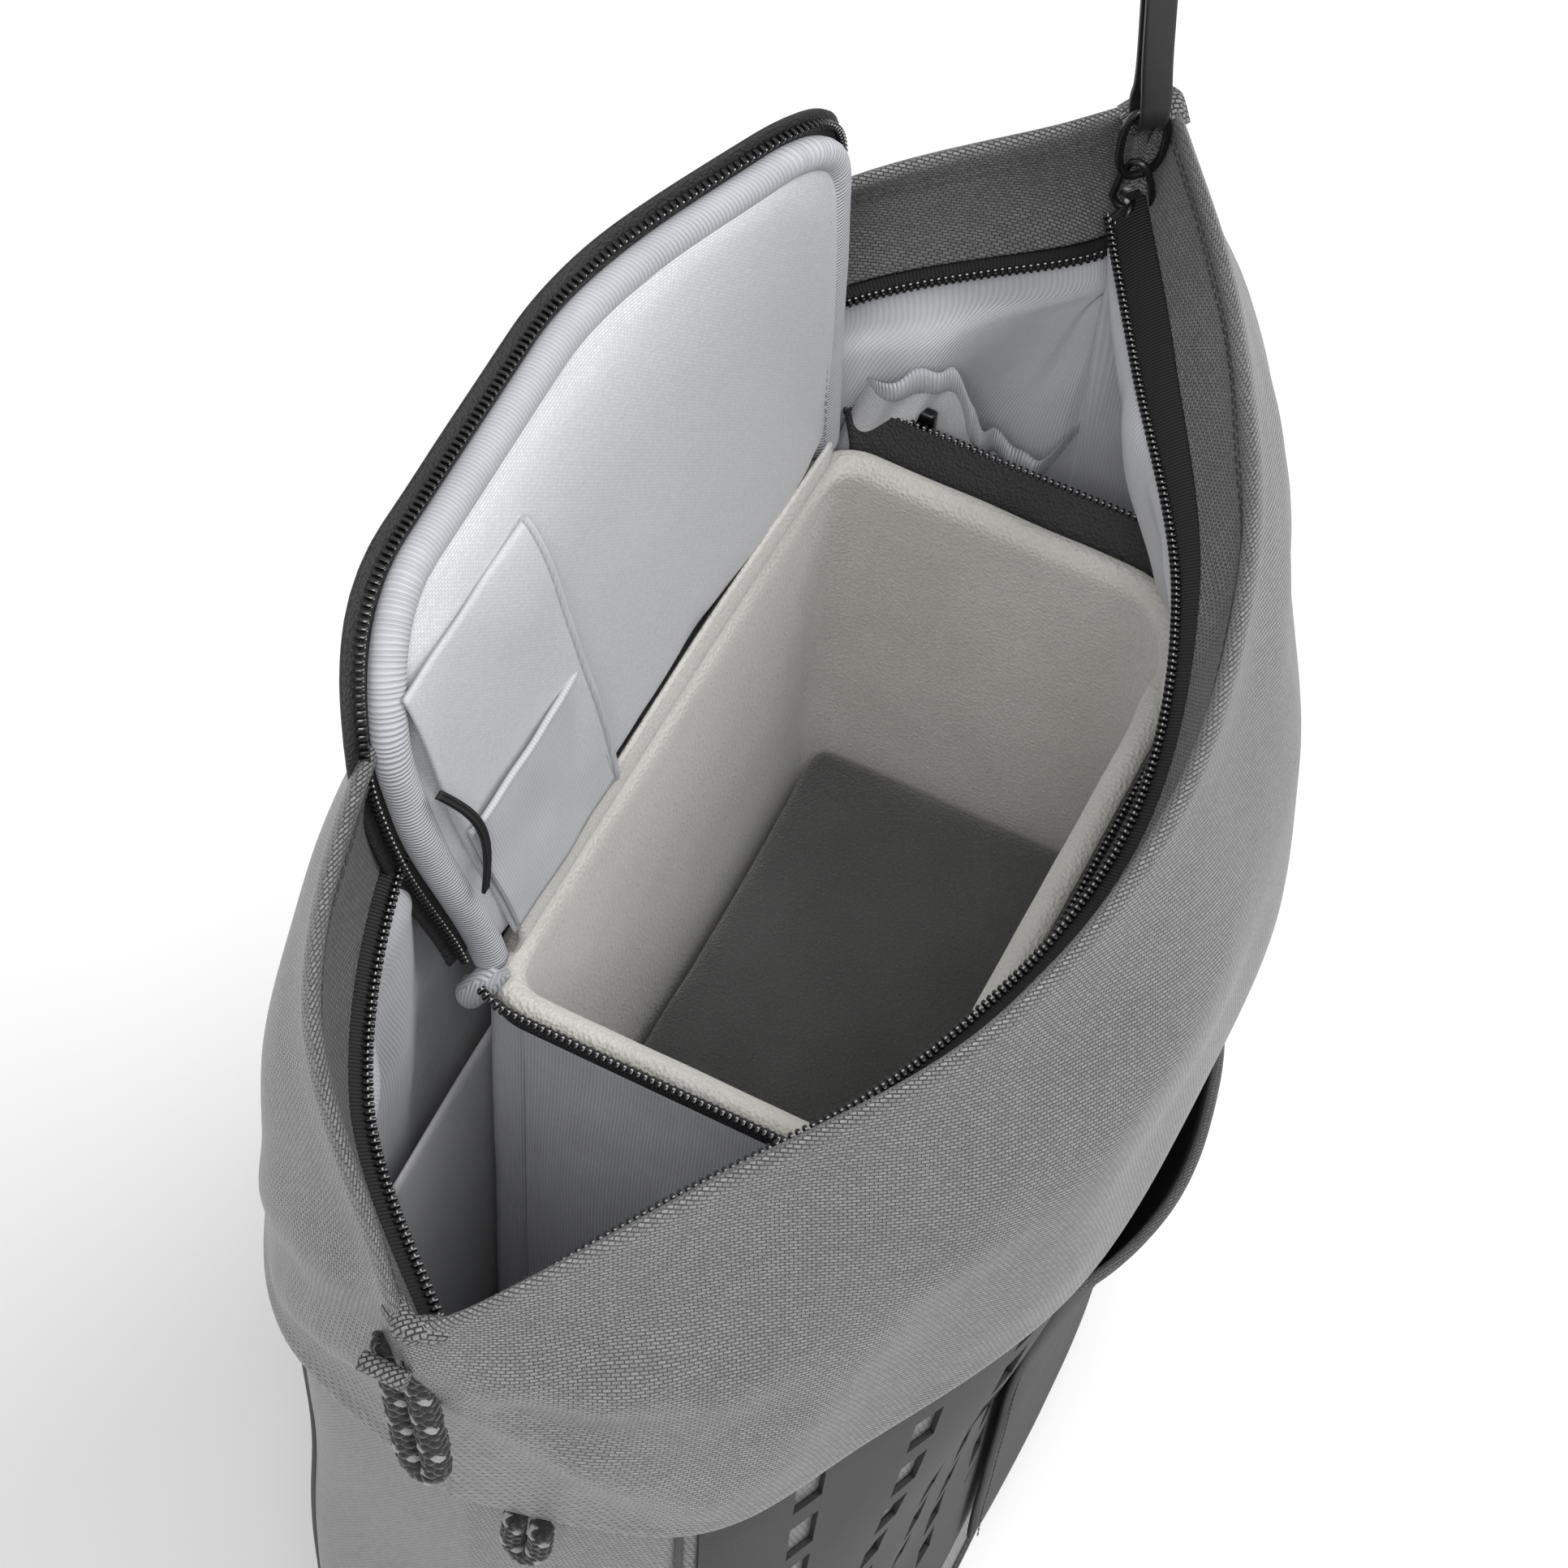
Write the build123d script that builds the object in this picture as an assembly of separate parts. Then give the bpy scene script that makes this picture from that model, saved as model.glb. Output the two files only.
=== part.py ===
from build123d import *
import math
import os

# A tall camera backpack, standing open on its base. Millimetres, +Z up, +X along its width,
# -Y its front face. The origin is the middle of the face it stands on.

# Driving dimensions of the bag
BODY_TOP = 330.0          # where the body panels end and the collar takes over
HEM_Z = 322.0             # lower edge of the collar, lapped outside the body panels
MOUTH_Z = 420.0           # folded top edge of the collar
BASE_THICK = 5.0          # stiffened base panel
FABRIC = 2.5              # outer fabric with its foam
BACK_PAD = 8.0            # padded back panel
GAP = 0.3                 # clearance between stacked soft layers

# Driving dimensions of the padded insert that stands in the bag
INSERT_X = (-57.0, 106.0)
INSERT_Y = (-51.0, 48.0)
INSERT_Z = (7.0, 335.0)
INSERT_WALL = 5.0
FLEECE = 1.0
SHELF_THICK = 7.0
SHELF_Z = (115.0, 225.0)  # undersides of the two padded shelves
LID_THICK = 6.0
LID_EDGE = 3.0            # how far the lid stays inside the insert's outline on its free sides

# Fractions of the half width at which a ring's long sides have their points
FRACTIONS = (-1.0, -0.75, -0.4, 0.0, 0.4, 0.75, 1.0)

# Rings of the bag's outside. Each gives its height, the half width at the pointed ends and at the
# corners, then how far the front and back stand out at the seven fractions.
BODY_RINGS = (
    (BASE_THICK, 136.0, 128.0, (42, 56, 59, 60, 59, 56, 42), (50, 63, 67, 69, 67, 63, 50)),
    (160.0, 141.0, 130.0, (42, 56, 61, 63, 61, 56, 42), (46, 63, 69, 71, 69, 63, 46)),
    (BODY_TOP, 145.0, 131.0, (40, 62, 84, 88, 84, 62, 40), (42, 63, 71, 73, 71, 63, 42)),
)
COLLAR_RINGS = (
    (HEM_Z, 149.5, 135.0, (44, 66, 88, 92, 88, 66, 44), (46, 67, 75, 77, 75, 67, 46)),
    (350.0, 152.0, 138.0, (39, 62, 85, 90, 85, 64, 39), (42, 66, 76, 78, 76, 66, 42)),
    (385.0, 157.0, 145.0, (26, 51, 77, 85, 77, 52, 26), (28, 60, 74, 76, 73, 62, 30)),
    (MOUTH_Z, 163.0, 152.0, (10, 34, 65, 75, 64, 38, 10), (12, 48, 66, 70, 67, 57, 14)),
)
# Where the mouth's zip runs: half lengths along the bag and distances from its middle plane
ZIP_X = (-146.0, -112.0, -60.0, 0.0, 60.0, 112.0, 146.0)
ZIP_FRONT_Y = (-3.0, -22.0, -52.0, -65.0, -52.0, -24.0, -3.0)
ZIP_BACK_Y = (3.0, 38.0, 59.0, 63.5, 61.0, 50.5, 5.0)
ZIP_FRONT_Z = 396.0
ZIP_BACK_Z = 387.0
FACING_THICK = 1.2
TAPE_DROP = 8.0

# Heights that every layer of the body shares, so that their facets lie parallel
INNER_LEVELS = (40.0, 100.0, 160.0, 205.0, 250.0, 306.0)

FRONT_COLS = tuple(range(1, 8))       # corner to corner along the front
FAR_COLS = (7, 8, 9)                  # front corner, pointed end, back corner
BACK_COLS = tuple(range(9, 16))
NEAR_COLS = (15, 0, 1)


def ring(station):
    """The 16 corners of one ring: near end, front from near to far, far end, back."""
    z, end, corner, front, back = station
    points = [(-end, 0.0, z)]
    points += [(f * corner, -y, z) for f, y in zip(FRACTIONS, front)]
    points.append((end, 0.0, z))
    points += [(-f * corner, y, z) for f, y in zip(FRACTIONS, back[::-1])]
    return points


def inset(points, depth):
    """The ring moved inwards by depth, mitred at its corners. depth may differ by corner."""
    moved = []
    count = len(points)
    for i, (x, y, z) in enumerate(points):
        before, after = points[i - 1], points[(i + 1) % count]
        d1 = Vector(x - before[0], y - before[1]).normalized()
        d2 = Vector(after[0] - x, after[1] - y).normalized()
        n1, n2 = Vector(-d1.Y, d1.X), Vector(-d2.Y, d2.X)
        mitre = (n1 + n2) * (1 / (1 + n1.dot(n2)))
        amount = depth[i] if isinstance(depth, (tuple, list)) else depth
        moved.append((x + mitre.X * amount, y + mitre.Y * amount, z))
    return moved


def between(stations, z):
    """The ring at height z, in a straight line between the stations given."""
    for low, high in zip(stations, stations[1:]):
        if low[0] <= z <= high[0]:
            t = (z - low[0]) / (high[0] - low[0])
            return [
                tuple(a + (b - a) * t for a, b in zip(p, q))
                for p, q in zip(ring(low), ring(high))
            ]
    raise ValueError(z)


def tri(a, b, c):
    """A flat triangular face, or nothing where its corners fall together."""
    if min((Vector(p) - Vector(q)).length for p, q in ((a, b), (b, c), (c, a))) < 1e-6:
        return []
    return [Face(Wire.make_polygon([a, b, c], close=True))]


def quad(a, b, c, d):
    return tri(a, b, c) + tri(a, c, d)


def sewn(faces):
    solid = Solid(Shell(faces))
    return solid if solid.volume > 0 else -solid


def wall(outer, inner, cols=None):
    """A wall between two stacks of rings, all the way round, or between the columns given."""
    loop = cols is None
    cols = list(range(len(outer[0]))) + [0] if loop else list(cols)
    faces = []
    for j, k in zip(cols, cols[1:]):
        for i in range(len(outer) - 1):
            faces += quad(outer[i][j], outer[i][k], outer[i + 1][k], outer[i + 1][j])
            faces += quad(inner[i][j], inner[i + 1][j], inner[i + 1][k], inner[i][k])
        faces += quad(outer[0][j], inner[0][j], inner[0][k], outer[0][k])
        faces += quad(outer[-1][j], outer[-1][k], inner[-1][k], inner[-1][j])
    if not loop:
        for j, turn in ((cols[0], False), (cols[-1], True)):
            for i in range(len(outer) - 1):
                a, b = outer[i][j], outer[i + 1][j]
                c, d = inner[i + 1][j], inner[i][j]
                faces += quad(a, d, c, b) if turn else quad(a, b, c, d)
    return sewn(faces)


def plate(points, z0, z1):
    """A flat plate with the outline given, from z0 up to z1."""
    outline = Wire.make_polygon([(x, y, z0) for x, y, *_ in points], close=True)
    return Solid.extrude(Face(outline), Vector(0, 0, z1 - z0))


def block(x, y, z):
    """A block between two corners."""
    size = (x[1] - x[0], y[1] - y[0], z[1] - z[0])
    middle = (sum(x) / 2, sum(y) / 2, sum(z) / 2)
    return Pos(*middle) * Box(*size)


def band(path, width, thick, x):
    """A flat strap: path is its line in the YZ plane, and x the middle of its width."""
    sides = ([], [])
    for i, (y, z) in enumerate(path):
        before, after = path[max(i - 1, 0)], path[min(i + 1, len(path) - 1)]
        along = Vector(after[0] - before[0], after[1] - before[1]).normalized()
        for side, sign in zip(sides, (-1, 1)):
            side.append((x - width / 2, y - sign * along.Y * thick / 2, z + sign * along.X * thick / 2))
    outline = Wire.make_polygon(sides[0] + sides[1][::-1], close=True)
    return Solid.extrude(Face(outline), Vector(width, 0, 0))


def hoop(width, height, cord):
    """A flat hoop of cord or wire in the XY plane, its top edge on the X axis, cut from a plate."""

    def outline(w, h, c, drop):
        return [
            (-w / 2 + c, drop, 0), (w / 2 - c, drop, 0), (w / 2, drop - c, 0),
            (w / 2, drop - h + c, 0), (w / 2 - c, drop - h, 0), (-w / 2 + c, drop - h, 0),
            (-w / 2, drop - h + c, 0), (-w / 2, drop - c, 0),
        ]
    outside = plate(outline(width, height, width * 0.3, 0), -cord / 2, cord / 2)
    hole_w, hole_h = width - 2 * cord, height - 2 * cord
    inside = plate(outline(hole_w, hole_h, hole_w * 0.1, -cord), -cord, cord)
    return outside - inside


def save(name, shape):
    export_step(shape, f"parts/{name}.step")


os.makedirs("parts", exist_ok=True)

# --- Body panels: front, two ends and the padded back, mitred along their seams
body_depth = [FABRIC] * 9 + [BACK_PAD] * 7
body_depth[15] = BACK_PAD
body_levels = (BASE_THICK,) + INNER_LEVELS + (BODY_TOP,)
body_out = [between(BODY_RINGS, z) for z in body_levels]
body_in = [inset(points, body_depth) for points in body_out]
save("front_panel", wall(body_out, body_in, FRONT_COLS))
save("end_panel_far", wall(body_out, body_in, FAR_COLS))
save("back_panel", wall(body_out, body_in, BACK_COLS))
save("end_panel_near", wall(body_out, body_in, NEAR_COLS))
base_outline = inset(body_out[0], -1.0)
save("base_panel", plate(base_outline, 0, BASE_THICK))

# --- Collar: the front and back halves of the tall top, seamed at the two pointed ends
collar_out = [ring(station) for station in COLLAR_RINGS]
collar_in = [inset(points, FABRIC) for points in collar_out]
save("collar_front", wall(collar_out, collar_in, tuple(range(0, 9))))
save("collar_back", wall(collar_out, collar_in, tuple(range(8, 16)) + (0,)))

# --- Facings and zip tapes just inside the mouth
facing_top = inset(between(COLLAR_RINGS, MOUTH_Z - 1.0), FABRIC + GAP)


def mouth_strip(cols, zip_y, zip_z, inwards):
    """The facing from the fold down to the zip, and the zip tape that hangs from it."""
    top = [facing_top[j] for j in cols]
    xs = ZIP_X if inwards > 0 else ZIP_X[::-1]
    ys = zip_y if inwards > 0 else zip_y[::-1]
    edge = [(x, y, zip_z) for x, y in zip(xs, ys)]
    def shifted(points, dy, dz=0.0):
        return [(x, y + inwards * dy, z + dz) for x, y, z in points]
    thick = FACING_THICK
    facing = wall([edge, top], [shifted(edge, thick), shifted(top, thick)], range(len(cols)))
    low = shifted(edge, 1.0, -TAPE_DROP)
    high = shifted(edge, 0.0, -GAP)
    tape = wall([low, high], [shifted(low, thick), shifted(high, thick)], range(len(cols)))
    return facing, tape


facing, tape = mouth_strip(FRONT_COLS, ZIP_FRONT_Y, ZIP_FRONT_Z, 1)
save("facing_front", facing)
save("mouth_zip_front", tape)
facing, tape = mouth_strip(BACK_COLS, ZIP_BACK_Y, ZIP_BACK_Z, -1)
save("facing_back", facing)
save("mouth_zip_back", tape)

# --- Inner layers: lining, frame sheet, laptop sleeve
SHEET_ROOM = 2.2          # between the back panel and the lining, for the frame sheet
LINING_THICK = 0.8
SHEET_THICK = 1.4
lining_depth = [d + (GAP if i < 9 else SHEET_ROOM) for i, d in enumerate(body_depth)]
lining_rings = [between(BODY_RINGS, z) for z in (BASE_THICK + GAP,) + INNER_LEVELS + (BODY_TOP - GAP,)]
lining_out = [inset(points, lining_depth) for points in lining_rings]
lining_in = [inset(points, [d + LINING_THICK for d in lining_depth]) for points in lining_rings]
save("lining", wall(lining_out, lining_in))
FLOOR_LAYER = 1.0
floor_low = BASE_THICK + GAP
save("lining_floor", plate(inset(lining_in[0], GAP), floor_low, floor_low + FLOOR_LAYER))

sheet_depth = BACK_PAD + GAP
sheet_out = [inset(between(BODY_RINGS, z), sheet_depth) for z in INNER_LEVELS]
sheet_in = [inset(between(BODY_RINGS, z), sheet_depth + SHEET_THICK) for z in INNER_LEVELS]
save("frame_sheet", wall(sheet_out, sheet_in, BACK_COLS[1:-1]))
SLEEVE_Y = INSERT_Y[1] + GAP
SLEEVE_HALF = 88.0
SLEEVE_Z = (BASE_THICK + 2.0, 300.0)
SLEEVE_THICK = 1.2
sleeve_y = (SLEEVE_Y, SLEEVE_Y + SLEEVE_THICK)
save("laptop_sleeve", block((-SLEEVE_HALF, SLEEVE_HALF), sleeve_y, SLEEVE_Z))

# --- Stash pocket sewn to the lining at the far end of the back
SLIP_GAP = 0.5
SLIP_THICK = 1.0
SLIP_COLS = (8, 9, 10)    # from the pointed end round the back corner
slip_rings = lining_in[5:8]
slip_out = [inset(points, SLIP_GAP) for points in slip_rings]
slip_in = [inset(points, SLIP_GAP + SLIP_THICK) for points in slip_rings]
save("slip_pocket", wall(slip_out, slip_in, SLIP_COLS))

# --- Slotted laminate on the front, and the open pocket over its far half
LAMINATE = 1.2
overlay_in = [inset(between(BODY_RINGS, z), -GAP) for z in INNER_LEVELS]
overlay_out = [inset(between(BODY_RINGS, z), -GAP - LAMINATE) for z in INNER_LEVELS]
save("slotted_panel", wall(overlay_out, overlay_in, FRONT_COLS))

POCKET_X = (6.0, 112.0)
POCKET_Z = (40.0, 205.0)
POCKET_WALL = 1.5
POCKET_GAP = 1.0          # between the pocket's edges and the laminate
POCKET_STOPS = (0.0, 0.12, 0.35, 0.65, 0.88, 1.0)
POCKET_FULLNESS = 0.6     # under 1 the bulge is full, with steep sides
POCKET_LEVELS = ((POCKET_Z[0], 3.0), (100.0, 4.0), (160.0, 8.0), (POCKET_Z[1], 15.0))


def pocket_line(z, bulge, depth):
    """The pocket's outside at height z, from its near seam out over the bulge to its far seam."""
    points = []
    ahead = inset(between(BODY_RINGS, z), -GAP - LAMINATE - POCKET_GAP)[1:8]
    for t in POCKET_STOPS:
        x = POCKET_X[0] + (POCKET_X[1] - POCKET_X[0]) * t
        for p, q in zip(ahead, ahead[1:]):
            if p[0] <= x <= q[0]:
                y = p[1] + (q[1] - p[1]) * (x - p[0]) / (q[0] - p[0])
        rise = bulge * math.sin(math.pi * t) ** POCKET_FULLNESS
        points.append((x, y - rise - depth, z))
    return points


pocket_out = [pocket_line(z, bulge, POCKET_WALL) for z, bulge in POCKET_LEVELS]
pocket_in = [pocket_line(z, bulge, 0.0) for z, bulge in POCKET_LEVELS]
save("front_pocket", wall(pocket_out, pocket_in, range(len(POCKET_STOPS))))

# --- Carrying parts on the back
STRAP_X = 52.0            # middle of each shoulder strap
STRAP_Y = 77.3            # middle of its thickness
STRAP_Z = (118.0, 305.0)
STRAP_WIDE, STRAP_THICK = 56.0, 7.0
ROOT_HALF, ROOT_HIGH = 24.0, 15.0
BACK_FACE = 73.5          # stands clear of the back panel's outside
WEBBING_WIDE, WEBBING_THICK, WEBBING_FOOT = 24.0, 1.6, 28.0
LOCK_HALF, LOCK_RAIL, LOCK_DEEP = 17.0, 4.5, 2.5
LOCK_Z = (88.0, 112.0)
LOCK_END = 4.0            # height of the lock's two end bars
BAR_HALF_HIGH = 1.5
BAR_Y = (1.2, 2.4)        # the middle bar stands behind the webbing
ANCHOR_HALF = 14.0
ANCHOR_Y, ANCHOR_Z = (71.2, 78.6), (18.0, 27.7)
for side, name in ((-1, "near"), (1, "far")):
    x = side * STRAP_X
    pad = band([(STRAP_Y, STRAP_Z[1]), (STRAP_Y, STRAP_Z[0])], STRAP_WIDE, STRAP_THICK, x)
    root_z = (STRAP_Z[1] - ROOT_HIGH, STRAP_Z[1])
    root = block((x - ROOT_HALF, x + ROOT_HALF), (BACK_FACE, STRAP_Y), root_z)
    save(f"shoulder_strap_{name}", pad + root)
    webbing = band([(STRAP_Y, STRAP_Z[0] - GAP), (STRAP_Y, WEBBING_FOOT)], WEBBING_WIDE, WEBBING_THICK, x)
    hole_half = LOCK_HALF - LOCK_RAIL
    frame = block((x - LOCK_HALF, x + LOCK_HALF), (STRAP_Y - LOCK_DEEP, STRAP_Y + LOCK_DEEP), LOCK_Z)
    hole_z = (LOCK_Z[0] + LOCK_END, LOCK_Z[1] - LOCK_END)
    hole = block((x - hole_half, x + hole_half), (STRAP_Y - 2 * LOCK_DEEP, STRAP_Y + 2 * LOCK_DEEP), hole_z)
    bar_z = (sum(LOCK_Z) / 2 - BAR_HALF_HIGH, sum(LOCK_Z) / 2 + BAR_HALF_HIGH)
    bar = block((x - hole_half, x + hole_half), (STRAP_Y + BAR_Y[0], STRAP_Y + BAR_Y[1]), bar_z)
    save(f"strap_webbing_{name}", webbing - (frame - hole))
    save(f"ladder_lock_{name}", frame - hole + bar)
    save(f"strap_anchor_{name}", block((x - ANCHOR_HALF, x + ANCHOR_HALF), ANCHOR_Y, ANCHOR_Z))

HANDLE_HALF, HANDLE_HOLE_HALF = 46.0, 34.0
HANDLE_Y = (79.0, 82.4)
HANDLE_Z, HANDLE_HOLE_TOP = (322.0, 362.0), 350.0
HANDLE_FOOT_Z = (308.0, 321.8)
handle = block((-HANDLE_HALF, HANDLE_HALF), HANDLE_Y, HANDLE_Z)
through_y = (HANDLE_Y[0] - 1, HANDLE_Y[1] + 1)
handle -= block((-HANDLE_HOLE_HALF, HANDLE_HOLE_HALF), through_y, (HANDLE_Z[0], HANDLE_HOLE_TOP))
feet = [
    block(sorted((side * HANDLE_HALF, side * HANDLE_HOLE_HALF)), (BACK_FACE, HANDLE_Y[1]), HANDLE_FOOT_Z)
    for side in (-1, 1)
]
save("haul_handle", handle)
save("handle_anchors", feet[0] + feet[1])

# --- Cord loops on the pointed ends of the collar
LOOP_TOP = 408.0
LOOP_LENGTH = 42.0
LOOP_WIDTH = 17.0
CORD = 5.6
LOOP_STANDOFF = 1.2
ridge_low, ridge_high = COLLAR_RINGS[1], COLLAR_RINGS[3]
lean = math.degrees(math.atan2(ridge_high[1] - ridge_low[1], ridge_high[0] - ridge_low[0]))
ridge_x = ridge_high[1] - (MOUTH_Z - LOOP_TOP) * math.tan(math.radians(lean))
loop = hoop(LOOP_WIDTH, LOOP_LENGTH, CORD)
for side, name in ((-1, "near"), (1, "far")):
    flat = Rot(90, 0, 0) * loop                      # into the XZ plane, hanging down
    turned = Rot(0, 0, 90) * flat                    # across the end, in the YZ plane
    leaning = Rot(0, side * lean, 0) * turned
    out = side * (ridge_x + CORD / 2 + LOOP_STANDOFF)
    save(f"cord_loop_{name}", Pos(out, 0, LOOP_TOP) * leaning)
TAIL_WIDE, TAIL_LONG, TAIL_TOP, TAIL_Y = 15.0, 24.0, 321.0, -14.0
TAIL_X = -145.8
tail = Rot(0, 0, 90) * (Rot(90, 0, 0) * hoop(TAIL_WIDE, TAIL_LONG, CORD))
save("cord_tail_near", Pos(TAIL_X, TAIL_Y, TAIL_TOP) * tail)

# --- Mouth slider and its pull, standing up at the far end of the mouth
PULL_X, PULL_Y = 149.4, -0.4      # the axis and the middle of the pull
SLIDER_X = (PULL_X - 2.9, PULL_X + 2.9)
SLIDER_HALF, SLIDER_Z = 3.7, (388.0, 392.0)
THROAT_X = (SLIDER_X[0] - 1.0, SLIDER_X[0] + 2.2)
THROAT_Z = (SLIDER_Z[1] - 2.7, SLIDER_Z[1] - 1.3)
BRIDGE_OUT, BRIDGE_IN, BRIDGE_HIGH = 2.4, 1.2, 4.4
BRIDGE_BAR = 1.0
slider_y = (PULL_Y - SLIDER_HALF, PULL_Y + SLIDER_HALF)
bridge_y = (PULL_Y - BRIDGE_IN, PULL_Y + BRIDGE_IN)
bridge_top = SLIDER_Z[1] + BRIDGE_HIGH
slider_body = block(SLIDER_X, slider_y, SLIDER_Z)
throat = block(THROAT_X, (slider_y[0] - 1, slider_y[1] + 1), THROAT_Z)
bridge = block((PULL_X - BRIDGE_OUT, PULL_X + BRIDGE_OUT), bridge_y, (bridge_top - BRIDGE_BAR, bridge_top))
for side in (-1, 1):
    post_x = sorted((PULL_X + side * BRIDGE_OUT, PULL_X + side * BRIDGE_IN))
    bridge += block(post_x, bridge_y, (SLIDER_Z[1], bridge_top))
save("mouth_slider", slider_body - throat + bridge)

PIVOT_Z = SLIDER_Z[1] + 1.7
BAIL_HEIGHT = 15.0
WIRE = 1.4
BAIL_FOOT, BAIL_HEAD = (5.0, 6.4), (1.2, 2.9)     # inside and outside of each leg, low and high
half = WIRE / 2
bail = block((-half, half), (-BAIL_FOOT[1], BAIL_FOOT[1]), (-half, half))
bail += block((-half, half), (-BAIL_HEAD[1], BAIL_HEAD[1]), (BAIL_HEIGHT, BAIL_HEIGHT + WIRE))
for side in (-1, 1):
    leg = Wire.make_polygon(
        [
            (-half, side * BAIL_FOOT[1], -half), (-half, side * BAIL_FOOT[0], -half),
            (-half, side * BAIL_HEAD[0], BAIL_HEIGHT), (-half, side * BAIL_HEAD[1], BAIL_HEIGHT),
        ],
        close=True,
    )
    bail += Solid.extrude(Face(leg), Vector(WIRE, 0, 0))
save("pull_bail", Pos(PULL_X, PULL_Y, PIVOT_Z) * bail)

RING_WIDE, RING_HIGH, RING_WIRE = 12.0, 22.0, 1.6
RING_LAP = 4.0            # how far the ring hangs below the top of the bail
RING_TURN = 45.0          # how far the ring and strap are turned about the bail, towards its plane
ring_top = PIVOT_Z + BAIL_HEIGHT - RING_LAP + RING_HIGH
ring_wire = hoop(RING_WIDE, RING_HIGH, RING_WIRE)
save("pull_ring", Pos(PULL_X, PULL_Y, ring_top) * Rot(0, 0, -RING_TURN) * Rot(90, 0, 0) * ring_wire)
PULL_WIDE_HALF, PULL_THICK_HALF = 3.3, 1.6
PULL_FOOT, PULL_TOP = 6.5, 488.0
SLOT_HALF = 1.0           # the fold's eye, round the ring's wire
strap_z = (ring_top - PULL_FOOT, PULL_TOP)
strap = block((-PULL_WIDE_HALF, PULL_WIDE_HALF), (-PULL_THICK_HALF, PULL_THICK_HALF), strap_z)
eye_z = (ring_top - RING_WIRE - 0.2, ring_top + 0.2)
eye = block((-RING_WIDE, RING_WIDE), (-SLOT_HALF, SLOT_HALF), eye_z)
save("pull_strap", Pos(PULL_X, PULL_Y, 0) * Rot(0, 0, -RING_TURN) * (strap - eye))

# --- Padded insert: four walls, floor, fleece, rim tape
FRONT_CHAMFER = 15.0
BACK_CHAMFER = 8.0


def insert_outline(grow, z, grow_front=None):
    """The insert's chamfered outline, grown by grow at the ends and back. Order: near to far."""
    ahead = grow if grow_front is None else grow_front
    x0, x1 = INSERT_X[0] - grow, INSERT_X[1] + grow
    y0, y1 = INSERT_Y[0] - ahead, INSERT_Y[1] + grow
    f, b = FRONT_CHAMFER + grow * 0.4, BACK_CHAMFER + grow * 0.4
    return [
        (x0, y0 + f, z), (x0 + f, y0, z), (x1 - f, y0, z), (x1, y0 + f, z),
        (x1, y1 - b, z), (x1 - b, y1, z), (x0 + b, y1, z), (x0, y1 - b, z),
    ]


floor_top = INSERT_Z[0] + 5.0
outer = [insert_outline(0, z) for z in (floor_top, INSERT_Z[1])]
inner = [insert_outline(-INSERT_WALL, z) for z in (floor_top, INSERT_Z[1])]
save("insert_wall_front", wall(outer, inner, (0, 1, 2, 3)))
save("insert_wall_far", wall(outer, inner, (3, 4)))
save("insert_wall_back", wall(outer, inner, (4, 5, 6, 7)))
save("insert_wall_near", wall(outer, inner, (7, 0)))
save("insert_floor", plate(insert_outline(0, 0), INSERT_Z[0], floor_top))
fleece_in = INSERT_WALL + FLEECE
fleece_z = (floor_top + GAP, INSERT_Z[1] - 1.0)
fleece_out = [insert_outline(-INSERT_WALL - 0.05, z) for z in fleece_z]
save("insert_fleece", wall(fleece_out, [insert_outline(-fleece_in, z) for z in fleece_z]))

TAPE_WIDE, TAPE_FRONT = 6.0, 2.0  # how far the open zip tape flares out past the wall
TAPE_HIGH = 9.0
TAPE_THICK = 1.2
TAPE_LAP = 3.0            # sewn to the outside of the wall
rim_low = insert_outline(GAP, INSERT_Z[1] - TAPE_LAP)
rim_mid = insert_outline(GAP, INSERT_Z[1] + 0.5)
rim_high = insert_outline(TAPE_WIDE, INSERT_Z[1] + TAPE_HIGH, TAPE_FRONT)
rim_out = [inset(points, -TAPE_THICK) for points in (rim_low, rim_mid, rim_high)]
save("insert_rim_zip", wall(rim_out, [rim_low, rim_mid, rim_high], (7, 0, 1, 2, 3, 4)))
HINGE_Y = INSERT_Y[1]
HINGE_Z = INSERT_Z[1] + LID_THICK + 0.6

# --- Lid, standing open at its hinge along the back of the insert
lid_x = (INSERT_X[0] + LID_EDGE, INSERT_X[1] - LID_EDGE)
lid_reach = INSERT_Y[1] - INSERT_Y[0] - LID_EDGE
LID_CORNER = 22.0         # the corner starts this far from each end,
LID_ROUND = 0.35          # and its middle point stands in by this share of it


def lid_outline(grow, y):
    x0, x1, top = lid_x[0] - grow, lid_x[1] + grow, HINGE_Z + lid_reach + grow
    c = LID_CORNER
    m = c * LID_ROUND
    return [
        (x0, y, HINGE_Z), (x1, y, HINGE_Z), (x1, y, top - c), (x1 - m, y, top - m),
        (x1 - c, y, top), (x0 + c, y, top), (x0 + m, y, top - m), (x0, y, top - c),
    ]


def upright(points, thick):
    return Solid.extrude(Face(Wire.make_polygon(points, close=True)), Vector(0, thick, 0))


save("lid_panel", upright(lid_outline(0, HINGE_Y - LID_THICK), LID_THICK))
LID_TAPE = 2.4            # how far the zip tape stands out of the lid's edge
LID_TAPE_Y, LID_TAPE_THICK = HINGE_Y - LID_THICK + 1.0, 3.0
TAPE_FROM_HINGE = 6.0
lid_tape = upright(lid_outline(LID_TAPE, LID_TAPE_Y), LID_TAPE_THICK)
lid_tape -= upright(lid_outline(0.02, LID_TAPE_Y - 1), LID_TAPE_THICK + 2)
lid_tape -= block((-200, 200), (0, 100), (HINGE_Z - 10, HINGE_Z + TAPE_FROM_HINGE))
save("lid_zip", lid_tape)
LID_POCKET_X, LID_POCKET_Z, LID_POCKET_THICK = (-44.0, 20.0), (9.0, 78.0), 1.0
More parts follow.
